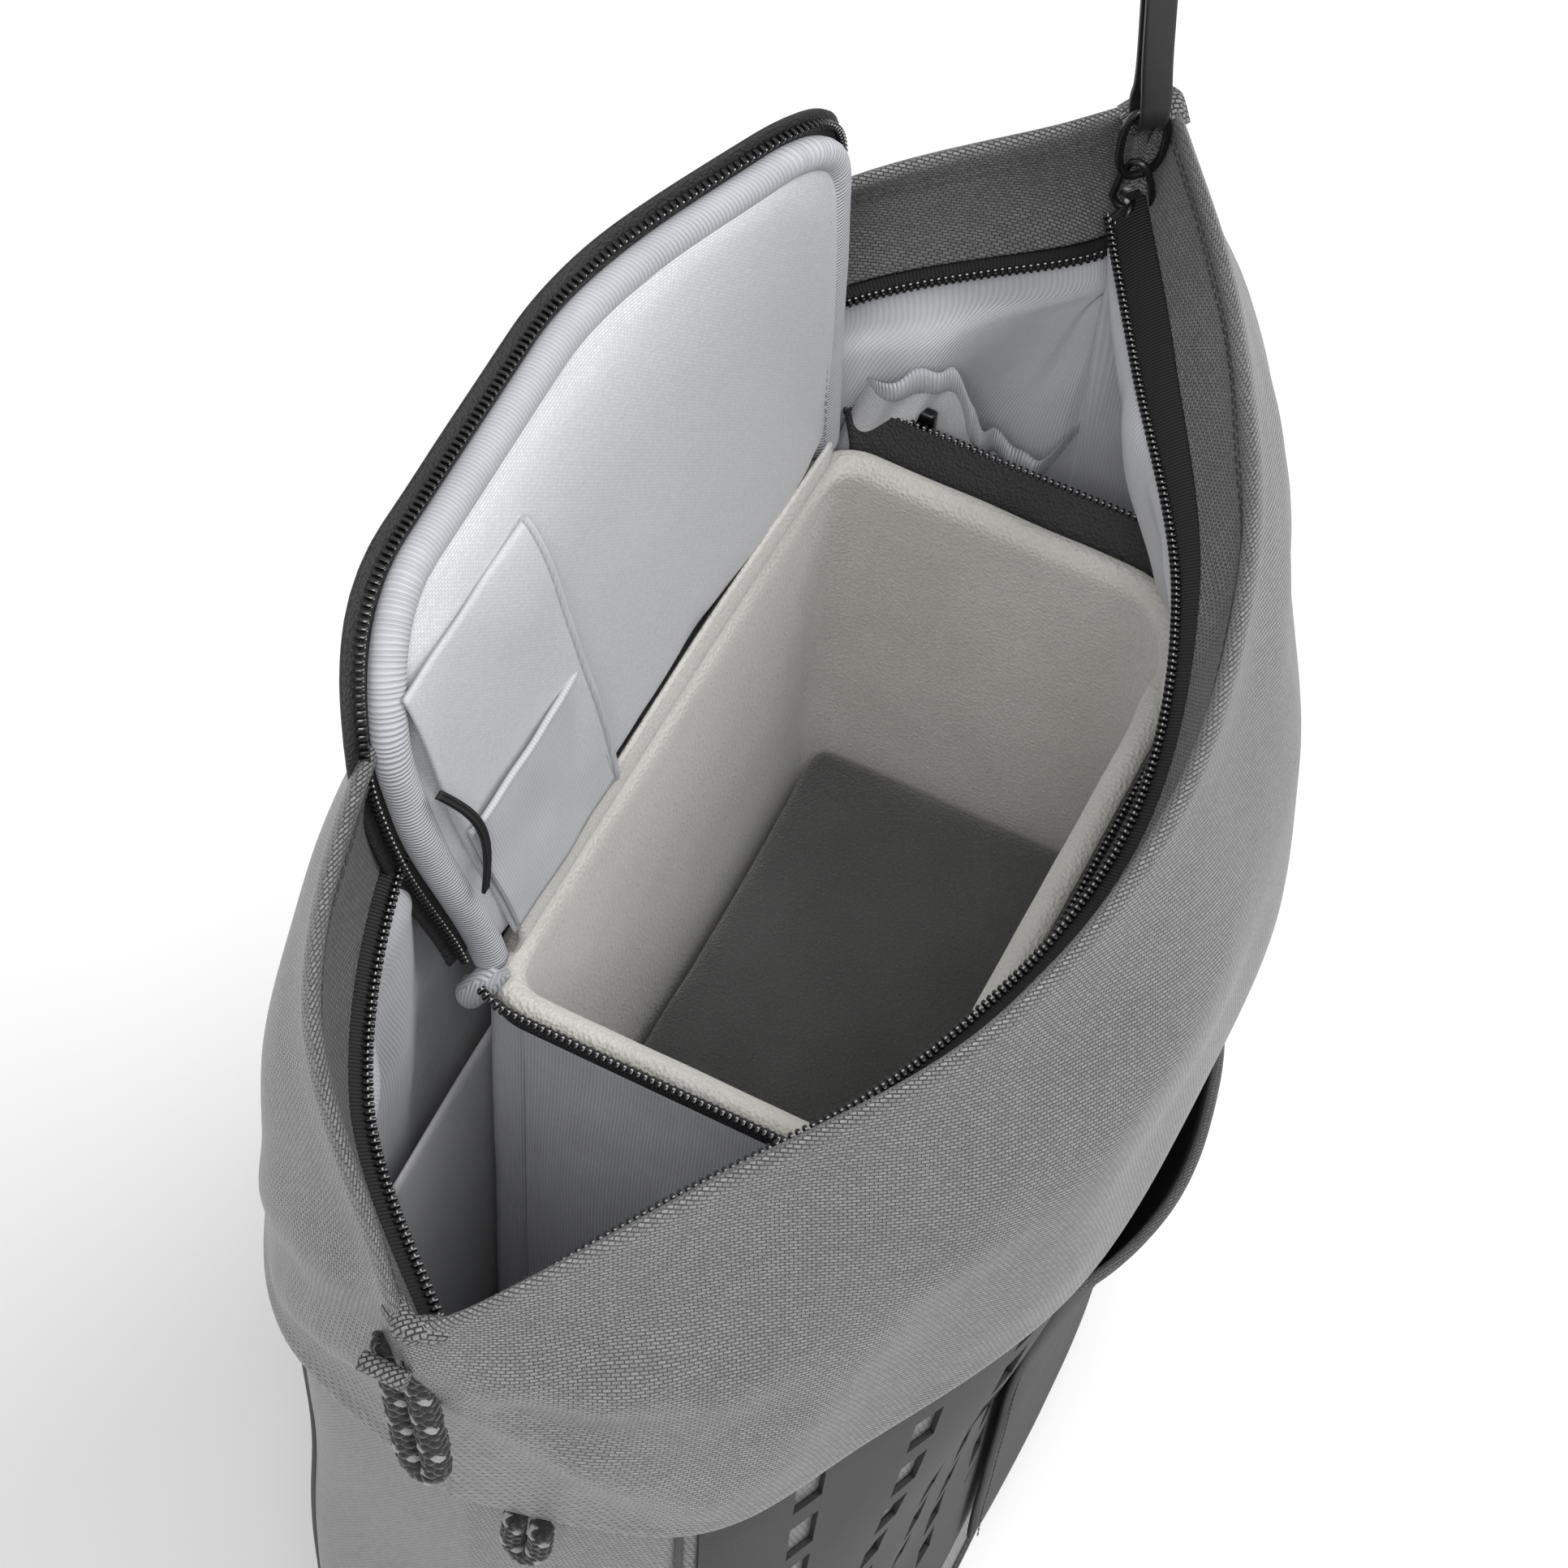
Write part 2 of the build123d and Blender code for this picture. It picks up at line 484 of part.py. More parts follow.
ELASTIC_X, ELASTIC_Z, ELASTIC_THICK = (-43.0, -39.0), (14.0, 46.0), 1.15
pocket_back = HINGE_Y - LID_THICK - 0.05
pocket_face = pocket_back - LID_POCKET_THICK
pocket_z = (HINGE_Z + LID_POCKET_Z[0], HINGE_Z + LID_POCKET_Z[1])
elastic_z = (HINGE_Z + ELASTIC_Z[0], HINGE_Z + ELASTIC_Z[1])
save("lid_pocket", block(LID_POCKET_X, (pocket_face, pocket_back), pocket_z))
save("lid_elastic", block(ELASTIC_X, (pocket_face - ELASTIC_THICK, pocket_face - 0.05), elastic_z))
BINDING_END = 12.0        # how far the hinge binding stops short of the insert's ends
BINDING_Y = (INSERT_Y[1] + 0.4, INSERT_Y[1] + 1.4)
BINDING_Z = (322.0, INSERT_Z[1] + 1.0)
binding_x = (INSERT_X[0] + BINDING_END, INSERT_X[1] - BINDING_END)
save("hinge_binding", block(binding_x, BINDING_Y, BINDING_Z))

# --- Two padded shelves in the insert
shelf_outline = insert_outline(-fleece_in - 0.5, 0)
for z, name in zip(SHELF_Z, ("lower", "upper")):
    save(f"shelf_{name}", plate(shelf_outline, z, z + SHELF_THICK))

# --- Insert zip slider with its pull, parked at the far end of the hinge
CASE_THICK, CASE_HALF, CASE_Z = 2.6, 4.5, (-8.0, 1.0)
TAB_THICK, TAB_HALF, TAB_Z = 1.2, 3.2, (-26.0, -2.0)
case_x = INSERT_X[1] + TAPE_WIDE + TAPE_THICK + 1.4
tab_x = case_x + CASE_THICK + 0.1
case_y = INSERT_Y[1] - 18.0
rim_z = INSERT_Z[1] + TAPE_HIGH
case_sides = (case_y - CASE_HALF, case_y + CASE_HALF)
tab_sides = (case_y - TAB_HALF, case_y + TAB_HALF)
case_z = (rim_z + CASE_Z[0], rim_z + CASE_Z[1])
tab_z = (rim_z + TAB_Z[0], rim_z + TAB_Z[1])
save("insert_slider", block((case_x, case_x + CASE_THICK), case_sides, case_z))
save("insert_pull", block((tab_x, tab_x + TAB_THICK), tab_sides, tab_z))

# Joint places, for the record
print("lid hinge y z", HINGE_Y, HINGE_Z)
print("pull pivot x y z", PULL_X, PULL_Y, PIVOT_Z)
print("loop top x z, lean", ridge_x, LOOP_TOP, lean)
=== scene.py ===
# %% [markdown]
# # A tall camera backpack, standing open
# The bag is soft: a sleeve of woven cloth that ends in a wide collar, pulled open so that the padded
# insert inside it can be reached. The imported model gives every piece's place, so the first cell loads
# it and keeps its box, and each later cell dresses one piece of it in cloth, tape, cord or metal.

# %% Load the frame
import math
import bpy
from mathutils import Matrix, Vector, noise


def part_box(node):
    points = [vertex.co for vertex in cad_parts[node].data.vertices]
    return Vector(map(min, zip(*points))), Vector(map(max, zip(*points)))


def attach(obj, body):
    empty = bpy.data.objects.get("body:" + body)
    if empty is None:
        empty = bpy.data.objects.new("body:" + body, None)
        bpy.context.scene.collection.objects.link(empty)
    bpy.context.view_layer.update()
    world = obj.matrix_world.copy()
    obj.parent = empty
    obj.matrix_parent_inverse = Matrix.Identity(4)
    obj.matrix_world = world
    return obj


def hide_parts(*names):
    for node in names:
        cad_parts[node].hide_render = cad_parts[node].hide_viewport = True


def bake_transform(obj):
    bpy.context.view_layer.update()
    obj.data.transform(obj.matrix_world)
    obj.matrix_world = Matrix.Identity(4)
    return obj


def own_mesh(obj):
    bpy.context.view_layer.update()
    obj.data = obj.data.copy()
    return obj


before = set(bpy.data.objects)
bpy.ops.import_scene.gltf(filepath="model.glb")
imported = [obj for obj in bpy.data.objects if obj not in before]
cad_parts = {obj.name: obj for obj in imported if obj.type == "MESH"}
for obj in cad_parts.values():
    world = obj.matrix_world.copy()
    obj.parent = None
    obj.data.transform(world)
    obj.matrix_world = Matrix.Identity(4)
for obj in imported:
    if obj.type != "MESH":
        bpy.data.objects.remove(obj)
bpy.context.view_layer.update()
MM = 0.001

# %% [markdown]
# ## Where the viewer stands
# The bag is looked into from above its near end, with a long lens, so its sides hardly converge. A
# camera's matrix is its right, up and backward directions as columns, so these three are worked out
# from the angles, and a small roll turns the first two about the third.

# %% Camera
AZIMUTH, ELEVATION, ROLL = (math.radians(a) for a in (-67.5, 57.0, 5.0))
LOOK_AT = Vector((19, 14, 335)) * MM
DISTANCE = 0.854
backward = Vector((
    math.sin(AZIMUTH) * math.cos(ELEVATION), -math.cos(AZIMUTH) * math.cos(ELEVATION), math.sin(ELEVATION),
))
level = Vector((0, 0, 1)).cross(backward).normalized()
upward = backward.cross(level)
right = level * math.cos(ROLL) + upward * math.sin(ROLL)
up = upward * math.cos(ROLL) - level * math.sin(ROLL)
lens = bpy.data.cameras.new("camera")
lens.sensor_width, lens.lens = 36.0, 93.17
camera = bpy.data.objects.new("camera", lens)
camera.matrix_world = Matrix.LocRotScale(
    LOOK_AT + backward * DISTANCE, Matrix((right, up, backward)).transposed(), None
)
bpy.context.collection.objects.link(camera)
bpy.context.scene.camera = camera
print("camera at", [round(c, 3) for c in camera.location])

# %% [markdown]
# ## Tools for shaping
# An operator acts on everything that is selected, so `alone` clears the selection first. Soft cloth is
# easiest to make from a fine grid: each corner of the grid has a place u, v in the flat cloth, and a
# function says where that place ends up on the bag. The grid's UV map is then stretched to metres, so
# that a weave has the same thread size on every piece.

# %% Selection and modifiers
def alone(obj):
    """Selects this object only, and makes it the active one."""
    bpy.ops.object.select_all(action="DESELECT")
    obj.select_set(True)
    bpy.context.view_layer.objects.active = obj
    return obj


def named(name):
    """Names the newest object and its mesh."""
    obj = bpy.context.active_object
    obj.name = obj.data.name = name
    return obj


def modify(obj, kind, **values):
    """Adds a modifier with these values and applies it at once."""
    alone(obj)
    modifier = obj.modifiers.new(kind.lower(), kind)
    for key, value in values.items():
        setattr(modifier, key, value)
    bpy.ops.object.modifier_apply(modifier=modifier.name)
    return obj


def subdivide(obj, levels=1):
    """Splits every face in four and rounds the piece off."""
    return modify(obj, "SUBSURF", levels=levels, render_levels=levels)


def edit(obj):
    """Opens the object alone in edit mode with everything selected."""
    alone(obj)
    bpy.ops.object.mode_set(mode="EDIT")
    bpy.ops.mesh.select_all(action="SELECT")


def close_edit():
    """Back to object mode."""
    bpy.ops.object.mode_set(mode="OBJECT")


def pick_faces(obj, wanted):
    """Selects the faces for which wanted(face) is true, and leaves the object open in edit mode."""
    edit(obj)
    bpy.ops.mesh.select_mode(type="FACE")
    bpy.ops.mesh.select_all(action="DESELECT")
    close_edit()
    for face in obj.data.polygons:
        face.select = wanted(face)
    bpy.ops.object.mode_set(mode="EDIT")


def unwrapped(obj, outwards_too=False):
    """Gives a piece a UV map in metres, seen from its six sides, and turns its normals out if asked."""
    edit(obj)
    if outwards_too:
        bpy.ops.mesh.normals_make_consistent(inside=False)
    bpy.ops.uv.cube_project(cube_size=1.0)
    close_edit()
    return obj


def turned_out(obj):
    """Points every normal of a closed piece outwards."""
    edit(obj)
    bpy.ops.mesh.normals_make_consistent(inside=False)
    close_edit()
    return obj


def smooth(obj, degrees=40):
    """Shades a piece smooth, except across edges sharper than this."""
    alone(obj)
    bpy.ops.object.shade_smooth_by_angle(angle=math.radians(degrees))
    return obj


def placed(obj):
    """Puts an object's place into its mesh, so that it sits at the origin, unturned and unscaled."""
    alone(obj)
    bpy.ops.object.transform_apply(location=True, rotation=True, scale=True)
    return obj


def joined(name, parts):
    """Joins several objects into one."""
    alone(parts[0])
    for part in parts[1:]:
        part.select_set(True)
    if len(parts) > 1:
        bpy.ops.object.join()
    return named(name)

# %% [markdown]
# ## A grid that becomes cloth
# Two curves do most of the shaping below: `blend_in` is a smooth step and `bump` a smooth hill.
# `along` runs a smooth line through a few points, and `cloth` draws a fine grid to any place function.

# %% Cloth from a grid
def blend_in(low, high, x):
    """0 below low, 1 above high, and smooth in between."""
    t = min(max((x - low) / (high - low), 0.0), 1.0)
    return t * t * (3 - 2 * t)


def bump(middle, width, x):
    """A smooth hill of height 1 at middle."""
    return math.exp(-((x - middle) / width) ** 2)


def along(points, t):
    """A smooth line through the points, from t = 0 at the first to t = 1 at the last."""
    spans = len(points) - 1
    i = min(int(max(t, 0.0) * spans), spans - 1)
    f = t * spans - i
    a, b, c, d = points[max(i - 1, 0)], points[i], points[i + 1], points[min(i + 2, spans)]
    return 0.5 * (2 * b + (c - a) * f + (2 * a - 5 * b + 4 * c - d) * f**2 + (3 * b - a - 3 * c + d) * f**3)


def steps(place, count, start=0.0, end=1.0):
    """Points of place(t) from start to end."""
    return [place(start + (end - start) * i / count) for i in range(count + 1)]


def lengths(points):
    """How far each point of a line is from its first, measured along it."""
    reach = [0.0]
    for a, b in zip(points, points[1:]):
        reach.append(reach[-1] + (b - a).length)
    return reach


def cloth(name, columns, rows, place, thick=0.0, seam=False, outward=1.0):
    """A grid of cloth whose corner at u, v is at place(u, v), with a UV map in metres of cloth.
    thick gives it a wall on the side away from outward, and seam closes u = 1 onto u = 0."""
    bpy.ops.mesh.primitive_grid_add(x_subdivisions=columns, y_subdivisions=rows, size=1)
    sheet = named(name)
    wide = lengths(steps(lambda t: place(t, 0.5), columns))
    high = lengths(steps(lambda t: place(0.5, t), rows))
    for loop in sheet.data.uv_layers.active.data:
        u, v = loop.uv
        loop.uv = (wide[round(u * columns)], high[round(v * rows)])
    for vertex in sheet.data.vertices:
        u, v = round((vertex.co.x + 0.5) * columns) / columns, round((vertex.co.y + 0.5) * rows) / rows
        vertex.co = place(u, v)
    if seam:
        edit(sheet)
        bpy.ops.mesh.remove_doubles(threshold=1e-5)
        close_edit()
    if thick:
        modify(sheet, "SOLIDIFY", thickness=thick, offset=-outward, use_even_offset=False)
    sheet.data.polygons.foreach_set("use_smooth", [True] * len(sheet.data.polygons))
    return sheet


def normal_at(place, u, v, step=0.01):
    """Which way the cloth faces at u, v."""
    across = place(min(u + step, 1), v) - place(max(u - step, 0), v)
    down = place(u, min(v + step, 1)) - place(u, max(v - step, 0))
    return across.cross(down).normalized()

# %% [markdown]
# ## Things in a row
# A zip's coil and a line of stitches are one small shape repeated along a line. The shape is modelled
# once, an Array modifier repeats it to the length of a curve, and a Curve modifier bends the row along
# it. Both modifiers are applied, and the curve is taken away.

# %% Rows and tubes along a line
def line_of(points, closed=False):
    """A poly curve through the points, with no thickness."""
    data = bpy.data.curves.new("line", "CURVE")
    data.dimensions, data.twist_mode = "3D", "Z_UP"
    spline = data.splines.new("POLY")
    spline.points.add(len(points) - 1)
    for target, point in zip(spline.points, points):
        target.co = (*point, 1)
    spline.use_cyclic_u = closed
    line = bpy.data.objects.new("line", data)
    bpy.context.collection.objects.link(line)
    return line


def row_along(name, piece, points, pitch):
    """Repeats piece every pitch along the line through the points. The piece lies along X at the origin."""
    line = line_of(points)
    modify(
        piece, "ARRAY", fit_type="FIT_CURVE", curve=line, use_relative_offset=False,
        use_constant_offset=True, constant_offset_displace=(pitch, 0, 0),
    )
    modify(piece, "CURVE", object=line, deform_axis="POS_X")
    bpy.data.objects.remove(line)
    piece.name = piece.data.name = name
    return piece


def tube(name, points, radius, sides=8, closed=False, smooth_line=True):
    """A round tube along a smooth line through the points, closed at its ends."""
    line = line_of(points, closed)
    line.data.bevel_depth, line.data.bevel_resolution = radius, max(sides // 4, 1)
    line.data.use_fill_caps = not closed
    line.data.twist_mode = "MINIMUM"
    alone(line)
    bpy.ops.object.convert(target="MESH")
    made = named(name)
    made.data.polygons.foreach_set("use_smooth", [smooth_line] * len(made.data.polygons))
    return made

# %% [markdown]
# ## Cloth as a pattern
# Woven cloth is rows of short raised threads, each row shifted against the last. A brick pattern in
# real millimetres gives that, and it runs on the UV map, so the rows follow the cloth. One node group
# makes the thread height and a slow cloudiness that no dyed cloth is without, and each material takes
# these with its own thread size and its own colours.

# %% Node groups
def group(name, inputs, outputs):
    """A shader node group with float or vector inputs and outputs, and its two end nodes."""
    tree = bpy.data.node_groups.new(name, "ShaderNodeTree")
    for label, kind, value in inputs:
        socket = tree.interface.new_socket(name=label, in_out="INPUT", socket_type=f"NodeSocket{kind}")
        if value is not None:
            socket.default_value = value
    for label, kind in outputs:
        tree.interface.new_socket(name=label, in_out="OUTPUT", socket_type=f"NodeSocket{kind}")
    return tree, tree.nodes.new("NodeGroupInput"), tree.nodes.new("NodeGroupOutput")


def node(tree, kind, *wires, **values):
    """Adds a node. Values set its properties or its sockets, and wires are (socket, source) pairs."""
    made = tree.nodes.new(f"ShaderNode{kind}")
    for key, value in values.items():
        if hasattr(made, key):
            setattr(made, key, value)
        else:
            made.inputs[key.replace("_", " ")].default_value = value
    for socket, source in wires:
        tree.links.new(source, made.inputs[socket])
    return made


def maths(tree, operation, first, second=None, third=None):
    """A maths node. Each input is a socket or a number."""
    made = tree.nodes.new("ShaderNodeMath")
    made.operation = operation
    for i, value in enumerate((first, second, third)):
        if isinstance(value, bpy.types.NodeSocket):
            tree.links.new(value, made.inputs[i])
        elif value is not None:
            made.inputs[i].default_value = value
    return made.outputs[0]


weave, weave_in, weave_out = group(
    "weave",
    [("Vector", "Vector", None), ("Row", "Float", 0.6 * MM), ("Dash", "Float", 1.4 * MM),
     ("Slant", "Float", 0.0)],
    [("Height", "Float"), ("Cloud", "Float"), ("Fleck", "Float")],
)
turn = node(
    weave, "VectorRotate", ("Vector", weave_in.outputs["Vector"]), ("Angle", weave_in.outputs["Slant"])
)
mortar = maths(weave, "MULTIPLY", weave_in.outputs["Row"], 0.22)
threads = node(
    weave, "TexBrick", ("Vector", turn.outputs[0]), ("Mortar Size", mortar),
    ("Brick Width", weave_in.outputs["Dash"]), ("Row Height", weave_in.outputs["Row"]),
    Scale=1.0, Mortar_Smooth=1.0, Bias=0.0,
    Color1=(1, 1, 1, 1), Color2=(0.55, 0.55, 0.55, 1), Mortar=(0, 0, 0, 1),
)
cloud = node(
    weave, "TexNoise", ("Vector", weave_in.outputs["Vector"]), Scale=28.0, Detail=4.0, Roughness=0.55
)
fleck = node(weave, "TexNoise", ("Vector", weave_in.outputs["Vector"]), Scale=1400.0, Detail=1.0)
weave.links.new(maths(weave, "SUBTRACT", 1.0, threads.outputs["Fac"]), weave_out.inputs["Height"])
weave.links.new(cloud.outputs["Fac"], weave_out.inputs["Cloud"])
flecked = maths(weave, "MULTIPLY", threads.outputs["Color"], fleck.outputs["Fac"])
weave.links.new(flecked, weave_out.inputs["Fleck"])

grain, grain_in, grain_out = group(
    "grain",
    [("Vector", "Vector", None), ("Size", "Float", 0.001), ("Worn", "Float", 0.5)],
    [("Height", "Float"), ("Mask", "Float")],
)
per_metre = maths(grain, "DIVIDE", 1.0, grain_in.outputs["Size"])
fine = node(
    grain, "TexNoise", ("Vector", grain_in.outputs["Vector"]), ("Scale", per_metre), Detail=3.0, Roughness=0.6
)
cells = node(grain, "TexVoronoi", ("Vector", grain_in.outputs["Vector"]), ("Scale", per_metre))
patches = node(grain, "TexNoise", ("Vector", grain_in.outputs["Vector"]), Scale=45.0, Detail=5.0)
worn = maths(grain, "MULTIPLY", patches.outputs["Fac"], grain_in.outputs["Worn"])
pitted = maths(grain, "MULTIPLY", fine.outputs["Fac"], cells.outputs["Distance"])
grain.links.new(pitted, grain_out.inputs["Height"])
worn_fine = maths(grain, "ADD", worn, maths(grain, "MULTIPLY", fine.outputs["Fac"], 0.5))
grain.links.new(worn_fine, grain_out.inputs["Mask"])
print("groups", [g.name for g in bpy.data.node_groups])

# %% [markdown]
# ## From a pattern to a finish
# A finish is a Principled shader with a colour and a bump. The same mask that raises a thread also
# lights it, because the top of a thread catches light and the gap beside it doesn't, so one function
# joins both to the shader.

# %% A shader and its colours
def shaded(name, rough, metallic=0.0, **gloss):
    """An empty material with its Principled shader. Gloss values are set on the shader's own sockets."""
    made = bpy.data.materials.new(name)
    made.use_nodes = True
    tree = made.node_tree
    shader = tree.nodes["Principled BSDF"]
    shader.inputs["Roughness"].default_value = rough
    shader.inputs["Metallic"].default_value = metallic
    for key, value in gloss.items():
        shader.inputs[key.replace("_", " ")].default_value = value
    return made, tree, shader


def grey(level, warm=0.0):
    """A near grey, given as the eye sees it from 0 to 1. Warm above 0 is yellower and below 0 bluer."""
    return tuple(max(level + shift, 0.0) ** 2.2 for shift in (warm * 0.5, warm * 0.15, -warm)) + (1.0,)


def finish_with(tree, shader, mask, dark, light, height, strength, depth):
    """Colours the shader between dark and light by mask, and raises its surface by height."""
    mix = node(tree, "ValToRGB", ("Fac", mask))
    mix.color_ramp.elements[0].color, mix.color_ramp.elements[1].color = dark, light
    raised = node(tree, "Bump", ("Height", height), Strength=strength, Distance=depth)
    tree.links.new(mix.outputs["Color"], shader.inputs["Base Color"])
    tree.links.new(raised.outputs["Normal"], shader.inputs["Normal"])
    return mix

# %% [markdown]
# ## Three families of finish
# Everything on the bag is woven, ribbed or grained. Woven cloth and ribbed tape follow their own UV
# map, since their threads run with the cloth, and moulded, cast, brushed and knitted things take
# their grain from the object's own places, which needs no map.

# %% Woven, ribbed and grained
def woven(name, dark, light, row=0.6, dash=1.4, slant=0.0, rough=0.6, strength=0.6, **gloss):
    """Woven cloth: row and dash are its thread sizes in millimetres."""
    made, tree, shader = shaded(name, rough, **gloss)
    uv = node(tree, "UVMap", uv_map="UVMap")
    pattern = tree.nodes.new("ShaderNodeGroup")
    pattern.node_tree = weave
    pattern.inputs["Row"].default_value = row * MM
    pattern.inputs["Dash"].default_value = dash * MM
    pattern.inputs["Slant"].default_value = slant
    tree.links.new(uv.outputs["UV"], pattern.inputs["Vector"])
    clouded = maths(tree, "MULTIPLY_ADD", pattern.outputs["Cloud"], 0.16, -0.04)
    threads_seen = maths(tree, "MULTIPLY_ADD", pattern.outputs["Fleck"], 0.9, 0.1)
    mask = maths(tree, "ADD", maths(tree, "MULTIPLY", threads_seen, pattern.outputs["Height"]), clouded)
    mix = finish_with(tree, shader, mask, dark, light, pattern.outputs["Height"], strength, row * 0.35 * MM)
    mix.color_ramp.elements[1].position = 0.62
    return made


WAVE_AT_SCALE_1 = 0.31416     # the wave texture's own wavelength in metres when its scale is 1


def ribbed(name, dark, light, rib=0.7, across=False, rough=0.6, strength=0.7, **gloss):
    """Ribbed tape or faille: fine ridges along the cloth's v, or along its u."""
    made, tree, shader = shaded(name, rough, **gloss)
    uv = node(tree, "UVMap", uv_map="UVMap")
    ribs = node(
        tree, "TexWave", ("Vector", uv.outputs["UV"]), wave_type="BANDS",
        bands_direction="Y" if across else "X", Scale=WAVE_AT_SCALE_1 / (rib * MM),
        Distortion=0.6, Detail=1.0, Detail_Scale=1.0,
    )
    cloudy = node(tree, "TexNoise", ("Vector", uv.outputs["UV"]), Scale=60.0, Detail=5.0, Roughness=0.6)
    ribs_seen = maths(tree, "MULTIPLY", ribs.outputs["Fac"], 0.45)
    mask = maths(tree, "ADD", ribs_seen, maths(tree, "MULTIPLY", cloudy.outputs["Fac"], 0.6))
    finish_with(tree, shader, mask, dark, light, ribs.outputs["Fac"], strength, rib * 0.3 * MM)
    return made


def grained(name, dark, light, size=1.0, rough=0.6, strength=0.5, worn_amount=0.5, depth=0.2, **gloss):
    """Plastic, rubber, metal, felt or fleece: grain of that size in millimetres on object places."""
    made, tree, shader = shaded(name, rough, **gloss)
    place = node(tree, "TexCoord")
    pattern = tree.nodes.new("ShaderNodeGroup")
    pattern.node_tree = grain
    pattern.inputs["Size"].default_value = size * MM
    pattern.inputs["Worn"].default_value = worn_amount
    tree.links.new(place.outputs["Object"], pattern.inputs["Vector"])
    mask, height = pattern.outputs["Mask"], pattern.outputs["Height"]
    finish_with(tree, shader, mask, dark, light, height, strength, depth * size * MM)
    return made

# %% [markdown]
# ## The cloths
# The outside is a satin grey nylon, and the lining and the insert are a pale blue grey. Each colour is
# a range, from the gap between two threads to the top of one. A little sheen is what light does in
# fine fibres, and a lower roughness makes a cloth look coated.

# %% Cloths and tapes
OUTER = woven("outer_nylon", grey(0.20), grey(0.50), row=0.8, dash=1.6, slant=0.5, rough=0.40,
              strength=1.0, Sheen_Weight=0.12, Sheen_Roughness=0.35, Specular_IOR_Level=0.7)
TIP_CLOTH = woven("tip_weave", grey(0.14), grey(0.52), row=0.95, dash=1.5, slant=0.8, rough=0.55,
                  strength=1.0)
BASE_CLOTH = woven("base_cloth", grey(0.16), grey(0.30), row=0.8, dash=1.6, rough=0.7)
STRAP_CLOTH = woven("strap_cloth", grey(0.22), grey(0.38), row=0.6, dash=1.4, slant=0.5, strength=0.8)
MESH_CLOTH = woven("spacer_mesh", grey(0.16), grey(0.38), row=1.6, dash=2.2, rough=0.85, strength=1.0)
LINING_PLAIN = woven("lining_satin", grey(0.70, -0.010), grey(0.82, -0.010), row=0.45, dash=0.9, rough=0.42,
                     strength=0.35, Sheen_Weight=0.3, Sheen_Roughness=0.35)
LINING = ribbed("lining_faille", grey(0.69, -0.012), grey(0.80, -0.014), rib=0.8, rough=0.5, strength=0.45,
                Sheen_Weight=0.3, Sheen_Roughness=0.4)
INSERT_CLOTH = ribbed("insert_faille", grey(0.64, -0.010), grey(0.82, -0.012), rib=0.8, rough=0.45,
                      strength=0.7, Sheen_Weight=0.3, Sheen_Roughness=0.4)
BINDING = ribbed("ribbed_binding", grey(0.62, -0.02), grey(0.80, -0.018), rib=0.9, rough=0.6, strength=0.9,
                 Sheen_Weight=0.2)
TAPE = ribbed("zip_tape", grey(0.05), grey(0.13), rib=0.8, rough=0.7, strength=0.9)
WEBBING = ribbed("webbing", grey(0.07), grey(0.20), rib=1.1, across=True, rough=0.65, strength=1.0)
print("cloths", len(bpy.data.materials))

# %% [markdown]
# ## Brushed, moulded and cast finishes
# Fleece and felt are brushed, so they get a deep grain and much sheen. Zip coils and metal are
# smooth, so theirs is a shallow grain with a low roughness. All trims are near black.

# %% Grained finishes
FLEECE = grained("fleece", grey(0.66, 0.025), grey(0.86, 0.02), size=0.9, rough=0.95, strength=0.9,
                 depth=0.8, Sheen_Weight=0.6, Sheen_Roughness=0.5)
FELT = grained("felt", grey(0.20), grey(0.42), size=0.7, rough=0.95, strength=1.0, worn_amount=0.4, depth=0.8,
               Sheen_Weight=0.4, Sheen_Roughness=0.5)
LAMINATE = grained("laminate", grey(0.09), grey(0.20), size=0.5, rough=0.62, strength=0.7, depth=0.5,
                   Specular_IOR_Level=0.4)
RIM_TAPE = grained("rim_tape", grey(0.03), grey(0.22), size=0.7, rough=0.65, strength=1.0, worn_amount=0.4,
                   depth=0.6)
COIL = grained("zip_coil", grey(0.03), grey(0.12), size=0.5, rough=0.22, strength=0.2, Specular_IOR_Level=0.8)
# Pale dots on the zip coils: partly the coil's sewing thread, partly painted highlight for the glints of the
# glossy coil.
COIL_THREAD_AND_PAINTED_GLINT = grained("coil_thread_and_painted_glint", grey(0.62), grey(0.85), size=0.3, rough=0.5, strength=0.3)
THREAD_DARK = grained("dark_thread", grey(0.16), grey(0.30), size=0.4)
THREAD_PALE = grained("pale_thread", grey(0.48, -0.02), grey(0.66, -0.02), size=0.4)
PLASTIC = grained("buckle_plastic", grey(0.07), grey(0.14), size=0.5, rough=0.45, strength=0.25)
RUBBER = grained("pull_rubber", grey(0.09), grey(0.17), size=0.35, rough=0.5, strength=0.35,
                 Specular_IOR_Level=0.45)
METAL = grained("gunmetal", grey(0.16), grey(0.34), size=0.4, rough=0.26, strength=0.12, metallic=0.9)
STIFFENER = grained("stiffener", grey(0.14), grey(0.22), size=1.5)
print("materials", len(bpy.data.materials))

# %% [markdown]
# ## Dressing a piece
# Every finished piece is told what it is made of, which body it moves with and which imported solids
# it stands for, so that those are hidden.

# %% Dress
def dress(obj, finish, body, slot, *stands_for):
    """Gives a piece its finish and its body, and hides the CAD nodes that it stands for. The slot is not
    used.
    """
    obj.data.materials.clear()
    obj.data.materials.append(finish)
    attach(obj, body)
    if stands_for:
        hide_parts(*stands_for)
    print(obj.name, len(obj.data.polygons), "faces on", body)
    return obj

# %% [markdown]
# ## The bag's outline, read from the frame
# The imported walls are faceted, and their corners lie on rings at a few heights. Reading those corners
# back gives the true outline, and a smooth line through them turns facets into cloth. A wall has two
# skins, so of each corner and its nearest neighbour the one further out is kept.

# %% Rings
def heights(node_name):
    """The heights of a CAD piece's corners, from low to high."""
    return sorted({round(v.co.z, 4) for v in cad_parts[node_name].data.vertices})


